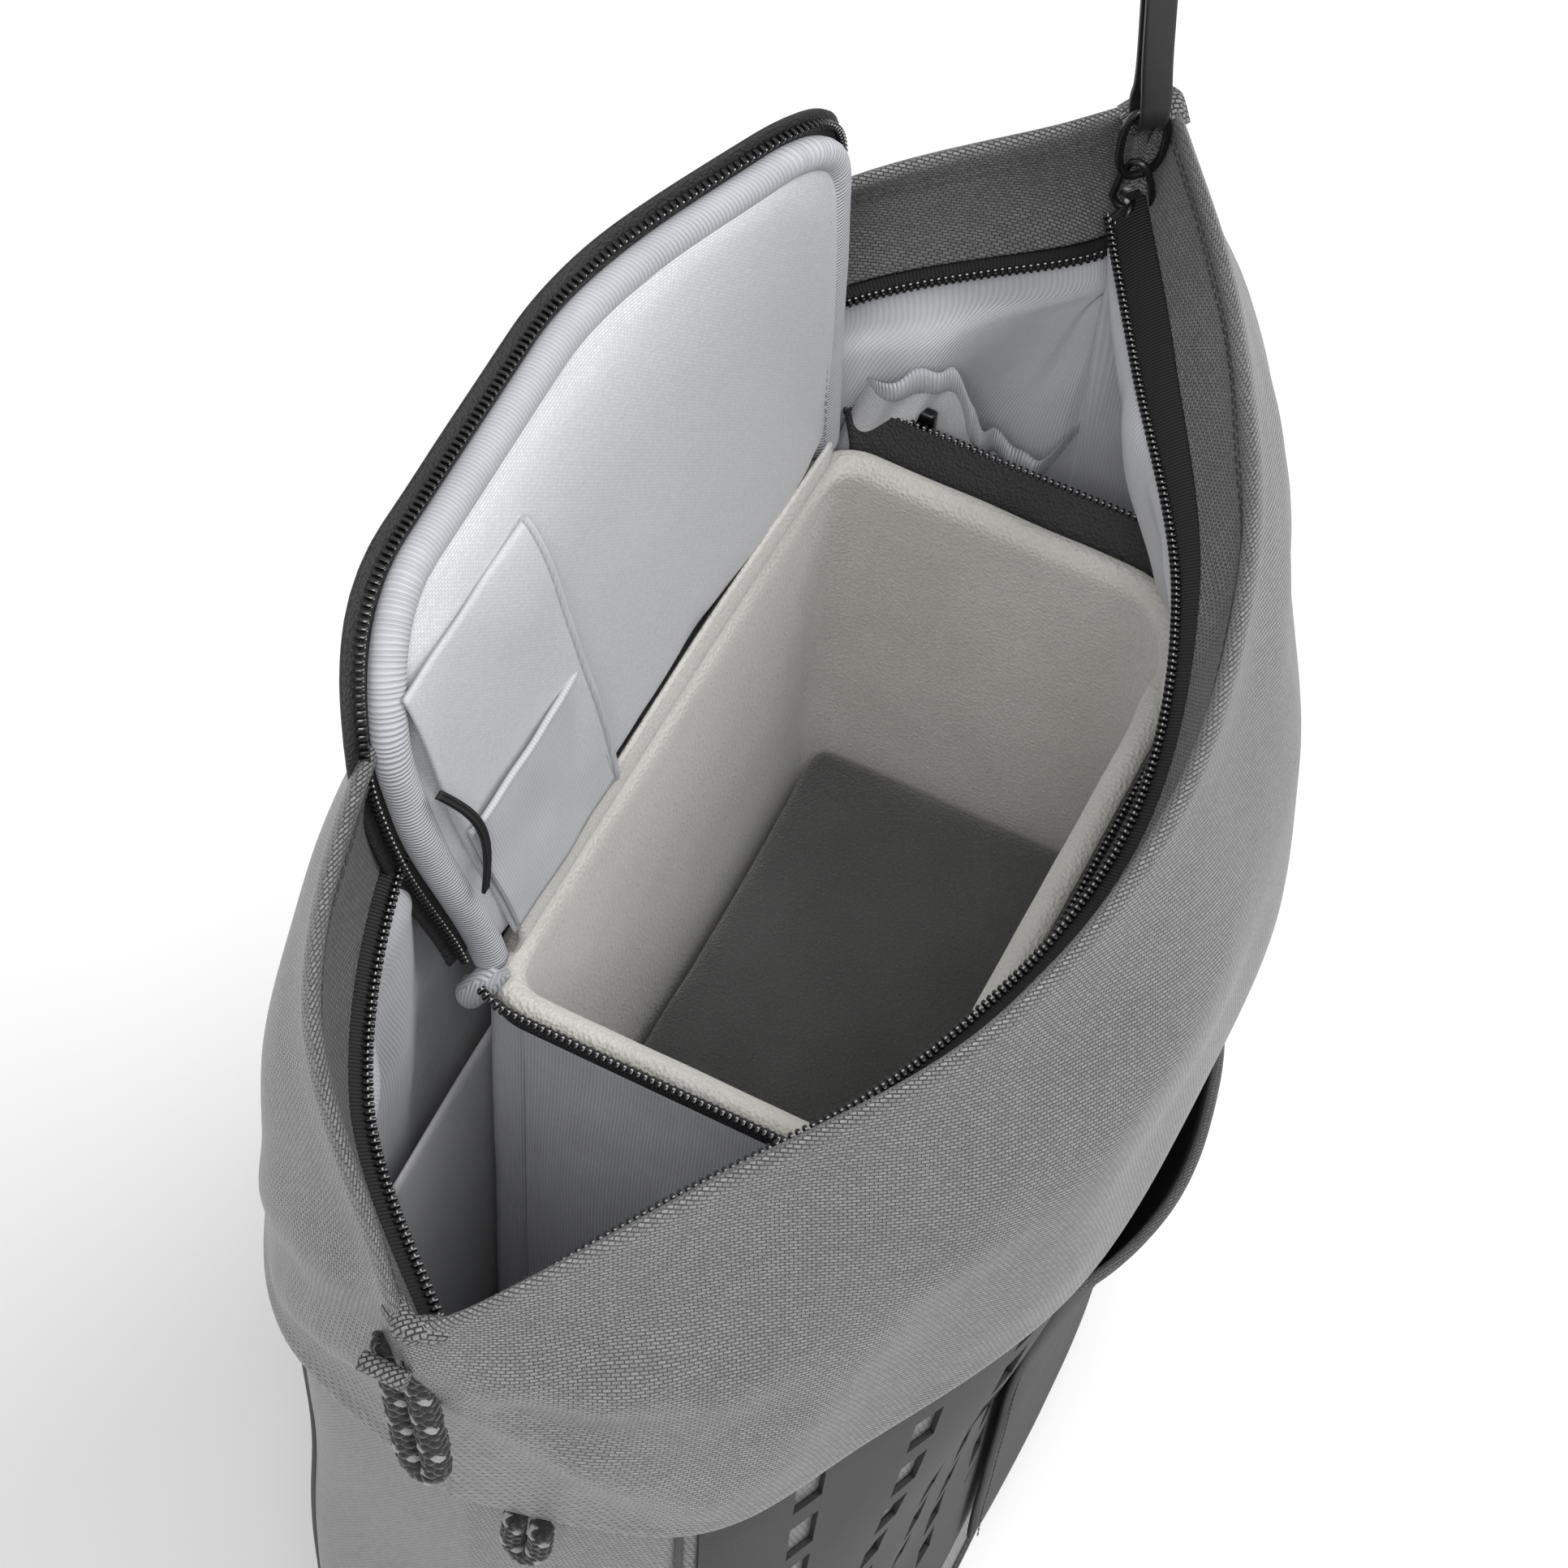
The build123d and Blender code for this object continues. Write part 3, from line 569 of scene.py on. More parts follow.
def outline(node_names, z, side):
    """The outside corners of CAD walls at height z on the side -1 or +1, from the near to the far end."""
    spots = set()
    for name in node_names:
        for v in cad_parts[name].data.vertices:
            if abs(v.co.z - z) < 0.2 * MM:
                spots.add((round(v.co.x, 5), round(v.co.y, 5)))
    outside = []
    for spot in spots:
        other = min((s for s in spots if s != spot), key=lambda s: math.dist(s, spot))
        if math.hypot(spot[0] * 0.6, spot[1]) > math.hypot(other[0] * 0.6, other[1]):
            if spot[1] * side > -0.1 * MM:
                outside.append(spot)
    return [Vector((x, y, z)) for x, y in sorted(outside)]


BODY_WALLS = ("front_panel", "end_panel_near", "end_panel_far", "back_panel")
COLLAR_WALLS = ("collar_front", "collar_back")
body_levels = heights("front_panel")
body_levels = [body_levels[0], body_levels[3], body_levels[-1]]     # the outside's own three rings
collar_levels = heights("collar_front")
BODY = {side: [outline(BODY_WALLS, z, side) for z in body_levels] for side in (-1, 1)}
COLLAR = {side: [outline(COLLAR_WALLS, z, side) for z in collar_levels] for side in (-1, 1)}
for side in (-1, 1):
    print("ring corners", side, [len(r) for r in BODY[side]], [len(r) for r in COLLAR[side]])

# %% [markdown]
# ## Places on the bag
# With the rings at hand, a place on the bag is a share along its width and a height. Cloth is never
# quite even, so a slow noise moves a place in or out, level and away from the bag's middle.

# %% Places on the rings
def on_rings(rings, t, z):
    """The point of a stack of rings at t along and height z, smooth in both."""
    levels = [ring[0].z for ring in rings]
    i = max([k for k in range(len(levels) - 1) if levels[k] <= z] or [0])
    step = (z - levels[i]) / (levels[i + 1] - levels[i])
    column = [along(ring, t) for ring in rings]
    if step < 0 or step > 1:
        point = column[i].lerp(column[i + 1], step)
    else:
        point = along(column, (i + step) / (len(levels) - 1))
    return Vector((point.x, point.y, z))


def crumple(point, size, depth):
    """An even, soft unevenness of cloth, the same on every run."""
    return depth * noise.noise(point / size)


def outwards(point, distance):
    """Moves a point level and away from the bag's middle."""
    away = Vector((point.x * 0.35, point.y, 0))
    return point + away.normalized() * distance if away.length > 1e-6 else point.copy()

# %% [markdown]
# ## The body
# Four panels meet at seams: a front, a padded back, and an end folded to a ridge at each side. Each
# one is a grid laid on the rings, with a wall of its own. Cloth that carries nothing hangs in broad
# shallow folds, so each grid is moved in and out a little by a slow noise before it gets its wall.

# %% Body panels
CORNER_T = 1 / 8          # the corners are the second and the last but one of nine ring points
BACK_T = CORNER_T + 0.045  # the side cloth runs a little way round onto the back
BODY_LOW, BODY_HIGH = body_levels[0], body_levels[-1]
CLOTH_WALL = 1.6 * MM
SEWN_IN = -0.6 * MM       # the panels sit this far inside the bag's outline


def body_height(v):
    """The height at share v between the base and the body's top ring."""
    return BODY_LOW + (BODY_HIGH - BODY_LOW) * v


def body_skin(side, t, z, proud=0.0):
    """The bag's outside below the collar, on one side, with its slow folds."""
    point = on_rings(BODY[side], t, z)
    slack = math.sin(math.pi * (z - BODY_LOW) / (BODY_HIGH - BODY_LOW))
    return outwards(point, proud + slack * crumple(point, 70 * MM, 2.2 * MM))


def front_place(u, v):
    """The front panel, from its near seam to its far one."""
    return body_skin(-1, CORNER_T + (1 - 2 * CORNER_T) * u, body_height(v), SEWN_IN)


def back_place(u, v):
    """The back panel, from its far seam to its near one."""
    return body_skin(1, 1 - BACK_T - (1 - 2 * BACK_T) * u, body_height(v), SEWN_IN)


def end_place(end):
    """An end panel's place function: from one corner over the ridge to the other."""
    def place(u, v):
        side = 1 if (u < 0.5) == (end < 0) else -1
        t = (BACK_T if side > 0 else CORNER_T) * abs(1 - 2 * u)
        return body_skin(side, t if end < 0 else 1 - t, body_height(v), SEWN_IN)
    return place


front_cloth = cloth("front_cloth", 64, 48, front_place, CLOTH_WALL)
dress(front_cloth, OUTER, "bag", "outer_fabric", "front_panel")
for end, word in ((-1, "near"), (1, "far")):
    side_cloth = cloth(f"end_cloth_{word}", 24, 48, end_place(end), CLOTH_WALL)
    dress(side_cloth, OUTER, "bag", "outer_fabric", f"end_panel_{word}")

# %% [markdown]
# ## Seams
# Where two panels are sewn together, the edges turn in and leave a narrow raised welt. It is a thin
# tube along the seam, half sunk into the cloth.

# %% Seam welts
WELT = 0.75 * MM
welts = []
for side in (-1, 1):
    corner = BACK_T if side > 0 else CORNER_T
    for t in (corner, 1 - corner):
        line = [body_skin(side, t, body_height(i / 40), -0.5 * MM) for i in range(41)]
        welts.append(tube("welt", line, WELT))
welts = joined("seam_welts", welts)
dress(welts, STRAP_CLOTH, "bag", "outer_fabric")

# %% [markdown]
# ## The padded back
# The back panel is foam under a spacer mesh, quilted by two upright channels so that air can pass. A
# cloth simulation would lose the channels, so the pad is a grid whose swelling is a formula: full in
# the middle of each field and pulled in at the channels and edges.

# %% Back panel
BACK_WALL = 6 * MM
CHANNELS = (0.36, 0.64)


def pad_place(u, v):
    """The back panel's outside, pulled in at its edges and channels."""
    edge = min(u, 1 - u, (v * 2), (1 - v) * 2)
    channel = min(abs(u - c) for c in CHANNELS)
    swell = blend_in(0.0, 0.08, edge) * (0.35 + 0.65 * blend_in(0.0, 0.06, channel))
    return outwards(back_place(u, v), (2.2 * swell - 2.0) * MM)


back_pad = cloth("back_pad", 96, 64, pad_place, BACK_WALL)
dress(back_pad, MESH_CLOTH, "bag", "back_mesh", "back_panel")

# %% [markdown]
# ## The base
# The bag stands on a stiffened base of coated cloth. It is a flat plate with a rounded lower edge, so
# it begins as a circle as wide as the bag, is drawn to the lowest ring, and its rim is bevelled.

# %% Base
RING_STEPS = 96           # corners of a plate's outline
CAP_CORNERS = 8           # a flat cap is one face with more corners than this


def inset_caps(plate, thickness):
    """Insets the flat top and bottom of a plate."""
    pick_faces(plate, lambda face: abs(face.normal.z) > 0.9 and len(face.vertices) > CAP_CORNERS)
    bpy.ops.mesh.inset(thickness=thickness)
    close_edit()


def round_edges(obj, width, segments=3, sharper_than=50):
    """Bevels the edges that are sharper than an angle in degrees."""
    return modify(
        obj, "BEVEL", width=width, segments=segments, limit_method="ANGLE",
        angle_limit=math.radians(sharper_than),
    )


low_box, high_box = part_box("base_panel")
bpy.ops.mesh.primitive_cylinder_add(vertices=RING_STEPS, radius=1, depth=high_box.z - low_box.z)
base = named("base_cloth")
base_front = steps(lambda t: on_rings(BODY[-1], t, BODY_LOW), RING_STEPS // 2)
base_back = steps(lambda t: on_rings(BODY[1], 1 - t, BODY_LOW), RING_STEPS // 2)
base_ring = base_front + base_back[1:-1]
for vertex in base.data.vertices:
    turn_by = (math.atan2(vertex.co.y, vertex.co.x) / math.tau + 0.5) % 1
    spot = base_ring[round(turn_by * RING_STEPS) % RING_STEPS]
    vertex.co = Vector((spot.x * 1.004, spot.y * 1.01, vertex.co.z + (high_box.z + low_box.z) / 2))
inset_caps(base, 4 * MM)
round_edges(base, 1.6 * MM)
smooth(unwrapped(base))
dress(base, BASE_CLOTH, "bag", "base_fabric", "base_panel")

# %% [markdown]
# ## The collar and its facing
# The collar is one piece of nylon on each side. It starts turned under at its hem, runs up the
# outside, folds over at the mouth and comes down inside as the facing, as far as the zip. So one grid
# makes both, with its rows following that profile. The back edge sags where nothing holds it up.

# %% The zip's line
HEM_Z, TOP_Z = collar_levels[0], collar_levels[-1]
FOLD = 1.7 * MM           # radius of the folded edge
RIDGE_ZIP = 150.5 * MM    # the zip's two tapes meet here, inside each pointed end
BACK_SAG, SAG_AT, SAG_WIDE = 15 * MM, 0.74, 0.15


def sag(side, t):
    """How far the mouth's edge hangs down at t along: only the back does."""
    return BACK_SAG * bump(SAG_AT, SAG_WIDE, t) if side > 0 else 0.0


def zip_corners(side):
    """The corners of the mouth's zip line on one side, with its two ends."""
    name = "mouth_zip_front" if side < 0 else "mouth_zip_back"
    high = heights(name)[-1]
    ends = [Vector((x, 0, high)) for x in (-RIDGE_ZIP, RIDGE_ZIP)]
    return [ends[0]] + outline((name,), high, side) + [ends[1]]


ZIP_LINE = {side: zip_corners(side) for side in (-1, 1)}


def zip_point(side, t):
    """The zip line at t along, with the back's sag."""
    point = along(ZIP_LINE[side], t)
    return Vector((point.x, point.y, point.z - sag(side, t)))


def inward(side, t):
    """Level and square to the zip line, towards the middle of the mouth."""
    ahead = zip_point(side, min(t + 0.01, 1)) - zip_point(side, max(t - 0.01, 0))
    square = Vector((-ahead.y, ahead.x, 0)) * -side
    return square.normalized()


print("zip line from", [round(c, 3) for c in zip_point(-1, 0)], "to", [round(c, 3) for c in zip_point(-1, 1)])

# %% [markdown]
# ## Folds of the collar
# Cloth that is pulled open at two points folds between them. Each fold here is a low rounded ridge
# from one place of the laid-out collar to another, highest at its middle. Its two ends are shares of
# the collar's width and height, and its rise and half width are in millimetres.

# %% Folds
COLLAR_FLAT = Vector((340, 98))           # the collar's width and height in millimetres
FOLD_GAIN = 1.7
CREASES = {
    -1: (((0.02, 0.90), (0.22, 0.50), 2.6, 9), ((0.02, 0.80), (0.13, 0.15), 2.2, 8),
         ((0.98, 0.80), (0.80, 0.35), 2.4, 12), ((0.30, 0.55), (0.62, 0.42), 1.8, 16),
         ((0.62, 0.86), (0.90, 0.60), 1.6, 12), ((0.16, 0.12), (0.34, 0.62), 1.2, 10)),
    1: (((0.03, 0.85), (0.14, 0.20), 2.6, 9), ((0.10, 0.95), (0.20, 0.30), 1.8, 8),
        ((0.97, 0.80), (0.82, 0.30), 2.2, 12), ((0.70, 0.80), (0.55, 0.30), 2.0, 14),
        ((0.35, 0.90), (0.50, 0.20), 1.6, 14)),
}


def creased(side, t, h):
    """How far the collar's folds stand out at t along and share h of its height."""
    total = 0.0
    for start, end, rise, width in CREASES[side]:
        a, b, p = (Vector(place) * COLLAR_FLAT for place in (start, end, (t, h)))
        share = min(max((p - a).dot(b - a) / (b - a).length_squared, 0), 1)
        gap = (p - a.lerp(b, share)).length / width
        total += FOLD_GAIN * rise * math.exp(-gap * gap) * math.sin(math.pi * (0.15 + 0.7 * share))
    return total * MM


def collar_skin(side, t, h, proud=0.0):
    """The outside of the collar: h is 0 at its hem and 1 at its folded edge."""
    z = HEM_Z + (TOP_Z - sag(side, t) - HEM_Z) * h
    point = on_rings(COLLAR[side], t, z)
    held = blend_in(0.0, 0.12, h) * blend_in(1.02, 0.8, h) if h < 1 else 0.0
    slack = crumple(point, 38 * MM, 2.0 * MM) + crumple(point, 95 * MM, 3.0 * MM)
    return outwards(point, proud + held * (slack + creased(side, t, h)))


print("a fold of", round(creased(-1, 0.12, 0.7) / MM, 2), "mm near the front's near end")

# %% [markdown]
# ## The collar's profile
# One line goes up from the turned hem, over the mouth and down to the zip. The grid's rows are evenly
# spread over the points of this line, so more points where it turns give a rounder fold.

# %% Collar
def collar_profile(side, t):
    """From the turned-under hem, up the outside, over the fold and down to the zip."""
    skin = [collar_skin(side, t, 0.10, -2.4 * MM), collar_skin(side, t, 0.03, -2.2 * MM)]
    skin.append(collar_skin(side, t, 0.0, -1.0 * MM) - Vector((0, 0, 0.8 * MM)))
    skin += [collar_skin(side, t, h) for h in (0.015, 0.07, 0.16, 0.28, 0.4, 0.52, 0.64, 0.76, 0.87, 0.95)]
    edge = collar_skin(side, t, 1.0)
    skin.append(Vector((*edge.xy, edge.z - FOLD)))
    skin.append(outwards(edge, -FOLD))
    inside = outwards(edge, -2 * FOLD) - Vector((0, 0, FOLD))
    skin.append(inside)
    end = zip_point(side, t) - inward(side, t) * 2.5 * MM + Vector((0, 0, 2 * MM))
    for w in (0.12, 0.3, 0.5, 0.7, 0.88, 1.0):
        point = inside.lerp(end, w)
        belly = math.sin(math.pi * w) * (2.0 * MM + crumple(point, 30 * MM, 2.5 * MM))
        skin.append(outwards(point, belly))
    return skin


def collar_place(side):
    """A place function for one side's collar. It keeps each profile, as many rows share it."""
    cache = {}

    def place(u, v):
        t = u if side < 0 else 1 - u
        if t not in cache:
            cache[t] = collar_profile(side, t)
        return along(cache[t], v)
    return place


COLLAR_PLACE = {side: collar_place(side) for side in (-1, 1)}
for side, word in ((-1, "front"), (1, "back")):
    collar = cloth(f"collar_cloth_{word}", 150, 84, COLLAR_PLACE[side], 0.9 * MM)
    dress(collar, OUTER, "bag", "outer_fabric", f"collar_{word}", f"facing_{word}")

# %% [markdown]
# ## Pointed ends
# At each end of the mouth the two sides are sewn together and the seam is covered by a strip of woven
# cloth. It is a soft roll over the point, thicker at the far end, where the strip is doubled.

# %% Pointed ends
ROWS = 21                 # spans of the collar's profile, so a place on it is a share of this


def tip_line(end):
    """Across one pointed end of the mouth, from the front's fold to the back's."""
    t = (lambda w: w) if end < 0 else (lambda w: 1 - w)
    front = [collar_skin(-1, t(w), 1.0) for w in (0.075, 0.04, 0.015)]
    back = [collar_skin(1, t(w), 1.0) for w in (0.015, 0.04, 0.075)]
    line = []
    for i, point in enumerate(front + back):
        sink = (4.5, 2.6, 2.4, 2.4, 2.6, 4.5)[i]
        line.append(outwards(point, -2.2 * MM) - Vector((0, 0, sink * MM)))
    return steps(lambda w: along(line, w), 24)


for end, word in ((-1, "near"), (1, "far")):
    roll = tube(f"collar_tip_{word}", tip_line(end), (2.6 if end < 0 else 3.8) * MM, 16)
    dress(unwrapped(roll), TIP_CLOTH, "bag", "outer_fabric")
print("top edge at the middle of the back", [round(c, 4) for c in COLLAR_PLACE[1](0.5, 14 / ROWS)])

# %% [markdown]
# ## Stitching
# Two rows of stitches hold the fold, a few millimetres below the edge. Each stitch is a short rounded
# bar of thread, pressed a little into the cloth.

# %% Stitches
def stitch(long, thread):
    """One stitch lying along X, a block tapered at its two ends."""
    bpy.ops.mesh.primitive_cube_add(size=1)
    made = named("stitch")
    made.scale = (long, thread, thread * 0.8)
    placed(made)
    modify(made, "BEVEL", width=thread * 0.35, segments=1)
    return made


def stitch_row(name, points, pitch=3.0, long=2.1, thread=0.5):
    """Stitches along a line, with their sizes in millimetres."""
    return row_along(name, stitch(long * MM, thread * MM), points, pitch * MM)


rows = []
for side in (-1, 1):
    place = COLLAR_PLACE[side]
    for depth in (16.05, 16.55):
        def sewn(u):
            v = depth / ROWS
            return place(u, v) - normal_at(place, u, v) * -0.15 * MM
        rows.append(stitch_row("row", steps(sewn, 150, 0.03, 0.97)))
mouth_stitches = joined("mouth_stitches", rows)
dress(mouth_stitches, THREAD_DARK, "bag", "outer_fabric")

# %% [markdown]
# ## The mouth's zip
# A woven tape is sewn under the facing's lower edge and leans in over the opening. On its free edge
# runs the coil: a row of small nylon teeth, with a row of pale dots over it that are its sewing thread and
# also painted highlight for the coil's glints.

# %% Mouth zip
TAPE_REACH, TAPE_FALL = 5.5 * MM, 7.0 * MM


def tape_place(side):
    """A place function for one side's tape, which is narrow wherever the coil is sewn close in."""
    def place(u, v):
        t = 0.012 + 0.976 * (u if side < 0 else 1 - u)
        start = zip_point(side, t) - inward(side, t) * 3.0 * MM + Vector((0, 0, 1.6 * MM))
        wide = 0.22 + 0.78 * blend_in(0.55, 0.8, t) if side < 0 else 0.22
        across = inward(side, t) * (TAPE_REACH * wide + 3 * MM) * (1 - (1 - v) ** 1.2)
        drop = TAPE_FALL * wide * v ** 1.3 + crumple(start, 20 * MM, 0.6 * MM)
        return start + across - Vector((0, 0, drop))
    return place


def tooth(name, long=0.95, wide=2.1, high=1.5):
    """One turn of the coil: a block across the tape, rounded over."""
    bpy.ops.mesh.primitive_cube_add(size=1)
    made = named(name)
    made.scale = (long * MM, wide * MM, high * MM)
    placed(made)
    modify(made, "BEVEL", width=0.38 * MM, segments=2)
    return made


def thread_and_glint_dot(name):
    """A pale dot over the coil: a turn of sewing thread, and also a painted highlight for the coil's glint.
    """
    bpy.ops.mesh.primitive_uv_sphere_add(segments=6, ring_count=4, radius=0.5)
    made = named(name)
    made.scale = (0.7 * MM, 0.42 * MM, 0.42 * MM)
    return placed(made)


COIL_PITCH = 1.55 * MM
coils, dots = [], []
for side, word in ((-1, "front"), (1, "back")):
    place = tape_place(side)
    tape = cloth(f"mouth_tape_{word}", 140, 8, place, 0.6 * MM)
    dress(tape, TAPE, "bag", "zip_tape", f"mouth_zip_{word}")
    edge = steps(lambda u: place(u, 0.93) + Vector((0, 0, 0.7 * MM)), 160)
    coils.append(row_along("coil", tooth("tooth"), edge, COIL_PITCH))
    # The pale dots over the coil are its thread and also painted highlight, for the glossy coil's glints.
    top = steps(lambda u: place(u, 0.93) + Vector((0, 0, 1.5 * MM)), 160)
    dots.append(row_along("dots", thread_and_glint_dot("dot"), top, COIL_PITCH))
mouth_coil = smooth(joined("mouth_coil", coils))
dress(mouth_coil, COIL, "bag", "zip_tape")
mouth_dots = smooth(joined("mouth_coil_thread_and_glints", dots), 60)
dress(mouth_dots, COIL_THREAD_AND_PAINTED_GLINT, "bag", "zip_tape")

# %% [markdown]
# ## The lining
# The lining hangs from the zip tapes, loose at the top and against the body panels lower down. It is
# one sleeve, so its grid closes on itself. It is cut fuller than the bag, and the spare cloth stands
# in upright folds, with one big fold that rolls in over the far half of the front.

# %% Lining
SLEEVE_FRONT, SLEEVE_BACK = 4.5 * MM, 13.5 * MM
LINING_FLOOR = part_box("lining")[0].z
LOOSE_ABOVE = 330 * MM    # the height from which the lining hangs free


def lining_wall(side, t, z):
    """Where the lining lies against the panels. The padded back holds it further in."""
    depth = SLEEVE_FRONT
    if side > 0:
        depth += (SLEEVE_BACK - SLEEVE_FRONT) * math.sin(math.pi * t) ** 0.3
    return outwards(on_rings(BODY[side], t, z), -depth)


def lining_place(u, v):
    """The sleeve: u goes along the front and back along the back, and v down from the zip."""
    side, t = (-1, 2 * u) if u < 0.5 else (1, 2 - 2 * u)
    high = zip_point(side, t)
    inner = inward(side, t)
    low = lining_wall(side, t, LOOSE_ABOVE)
    roll = 2 * MM * bump(0.85, 0.1, t)
    if side < 0:
        roll = (13 * bump(0.80, 0.14, t) + 4 * bump(0.2, 0.12, t)) * MM
    line = [high - inner * 1.5 * MM, high + inner * (1.0 * MM + roll * 0.45) - Vector((0, 0, 9 * MM))]
    for share, push in ((0.35, 1.0), (0.62, 0.85), (0.85, 0.4)):
        line.append(high.lerp(low, share) + inner * roll * push)
    line += [lining_wall(side, t, z * MM) for z in (325, 300, 250, 200, 150, 100, 50)]
    line.append(lining_wall(side, t, LINING_FLOOR))
    point = along(line, v)
    full = blend_in(0.0, 0.12, v) * blend_in(1.0, 0.8, v)
    pleat = noise.noise(Vector((point.x * 38, point.y * 38, point.z * 9)))
    fine = noise.noise(Vector((point.x * 90, point.y * 90, point.z * 30)))
    deep = side > 0 or t > 0.7 or t < 0.25
    fold = pleat * 6.5 + fine * 1.2 if deep else fine + pleat * 2
    return outwards(point, -full * max(fold, -1.0) * MM)


lining = cloth("lining_sleeve", 260, 110, lining_place, 0.5 * MM, seam=True)
dress(lining, LINING, "bag", "lining_fabric", "lining")

# %% [markdown]
# ## The laptop sleeve
# A flat sleeve for a laptop stands against the back, between the insert and the lining. It is one
# sheet of satin with nothing in it, so a grid with a slight wave is enough.

# %% Laptop sleeve
low_box, high_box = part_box("laptop_sleeve")


def sleeve_place(u, v):
    """A flat sheet between its box's corners, with a slight wave."""
    x = low_box.x + (high_box.x - low_box.x) * u
    z = low_box.z + (high_box.z - low_box.z) * v
    wave = 0.4 * MM * math.sin(9 * u) + crumple(Vector((x, 0, z)), 60 * MM, 0.5 * MM)
    return Vector((x, (low_box.y + high_box.y) / 2 + wave, z))


sleeve = cloth("laptop_sleeve_cloth", 40, 60, sleeve_place, 0.8 * MM)
dress(sleeve, LINING_PLAIN, "bag", "lining_fabric", "laptop_sleeve")

# %% [markdown]
# ## The stash pocket
# Its bottom and its two sides are sewn to the lining, and its top is longer than the lining behind
# it. The spare length stands in as a belly, and the elastic in the hem gathers it into waves.

# %% Stash pocket
POCKET_TOP = 347 * MM
slip_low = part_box("slip_pocket")[0].z


def slip_place(u, v):
    """u runs from the back round to the far end, and v from the bottom up to the gathered edge."""
    t = 0.80 + 0.215 * u
    side, t = (1, t) if t < 1 else (-1, 2 - t)
    top = POCKET_TOP + (9 * math.sin(5.2 * u + 0.6) - 10 * u) * MM
    z = slip_low + (top - slip_low) * v
    wall = lining_wall(side, t, min(z, LOOSE_ABOVE))
    if z > LOOSE_ABOVE:
        wall = wall.lerp(zip_point(side, t), (z - LOOSE_ABOVE) / (70 * MM))
    point = Vector((wall.x, wall.y, z))
    slack = 5 * MM * math.sin(math.pi * u) ** 0.4 + 9 * MM * v * math.sin(math.pi * u) ** 0.7
    gather = v ** 3 * (3.0 * math.sin(16 * u + 1) + 1.0 * math.sin(39 * u)) * MM
    sagging = blend_in(0.0, 0.2, v) * crumple(Vector((20 * u * MM * 5, 0, z * 0.4)), 18 * MM, 3.5 * MM)
    return outwards(point, -(slack + gather + sagging))


slip = cloth("stash_pocket", 90, 60, slip_place, 0.5 * MM)
dress(slip, LINING_PLAIN, "bag", "lining_fabric", "slip_pocket")


def slip_hem(u, v):
    """The gathered edge: a turned hem that rolls over the top of the pocket."""
    rim = slip_place(u, 1.0)
    turn_by = math.tau * v
    out = Vector((rim.x * 0.35, rim.y, 0)).normalized()
    fading = 0.3 + 0.7 * math.sin(math.pi * u) ** 0.4
    radius = (4.4 + 0.6 * math.sin(19 * u) + 0.3 * math.sin(45 * u + 2)) * fading
    return rim + (out * math.cos(turn_by) * 0.45 + Vector((0, 0, math.sin(turn_by)))) * radius * MM


slip_edge = cloth("stash_pocket_hem", 120, 14, slip_hem)
dress(slip_edge, BINDING, "bag", "lining_fabric")

# %% [markdown]
# ## The insert's outline
# The padded insert is a box with rounded corners. Its outline is built from straight runs and arcs,
# and any point of it is then found by its share of the whole way round, starting at the middle of the
# back and going over the near end, so that walls, tape and coil all follow one line.

# %% Outline of the insert
insert_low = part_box("insert_floor")[0]
insert_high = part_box("insert_wall_back")[1]
INSERT_X0, INSERT_X1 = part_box("insert_wall_near")[0].x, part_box("insert_wall_far")[1].x
INSERT_Y0, INSERT_Y1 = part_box("insert_wall_front")[0].y, insert_high.y
RIM_Z = insert_high.z
FRONT_ROUND, BACK_ROUND = 24 * MM, 13 * MM


def rounded_box(grow, ahead):
    """The insert's outline grown by grow, and by ahead in front, as a function of the share of the way."""
    x0, x1, y0, y1 = INSERT_X0 - grow, INSERT_X1 + grow, INSERT_Y0 - ahead, INSERT_Y1 + grow
    points = [Vector(((x0 + x1) / 2, y1))]
    arcs = (
        (x0, y1, BACK_ROUND, 90), (x0, y0, FRONT_ROUND, 180),
        (x1, y0, FRONT_ROUND, 270), (x1, y1, BACK_ROUND, 0),
    )
    for x, y, radius, start in arcs:
        radius += grow
        cx = x + radius if x == x0 else x - radius
        cy = y + radius if y == y0 else y - radius
        for i in range(17):
            a = math.radians(start + 90 * i / 16)
            points.append(Vector((cx + radius * math.cos(a), cy + radius * math.sin(a))))
    points.append(points[0].copy())
    reach = lengths(points)

    def place(share):
        distance = share * reach[-1]
        i = max(k for k in range(len(points) - 1) if reach[k] <= distance or k == 0)
        span = reach[i + 1] - reach[i]
        return points[i].lerp(points[i + 1], (distance - reach[i]) / span if span > 1e-9 else 0)
    return place


OUTLINES = {}


def round_insert(share, grow, z, ahead=None):
    """The point a share of the way round the insert, grown by grow, at height z."""
    ahead = grow if ahead is None else ahead
    key = (round(grow, 5), round(ahead, 5))
    if key not in OUTLINES:
        OUTLINES[key] = rounded_box(grow, ahead)
    spot = OUTLINES[key](share % 1.0)
    return Vector((spot.x, spot.y, z))


whole = 2 * (INSERT_X1 - INSERT_X0 + INSERT_Y1 - INSERT_Y0)
whole -= (8 - math.tau) * (FRONT_ROUND + BACK_ROUND) / 2
back_half = (INSERT_X1 - INSERT_X0) / 2 - BACK_ROUND
SIDE_START = (back_half + BACK_ROUND * math.pi / 2) / whole
SIDE_END = SIDE_START + (INSERT_Y1 - INSERT_Y0 - FRONT_ROUND - BACK_ROUND) / whole
print("way round the insert", round(whole, 3), "near wall", round(SIDE_START, 3), "to", round(SIDE_END, 3))

# %% [markdown]
# ## The insert's walls
# Each wall is foam in a ribbed cover. The foam pushes the middle of a wall out, and it stays in at the
# floor and under the rim, so the wall's outside is the outline plus a soft swell.

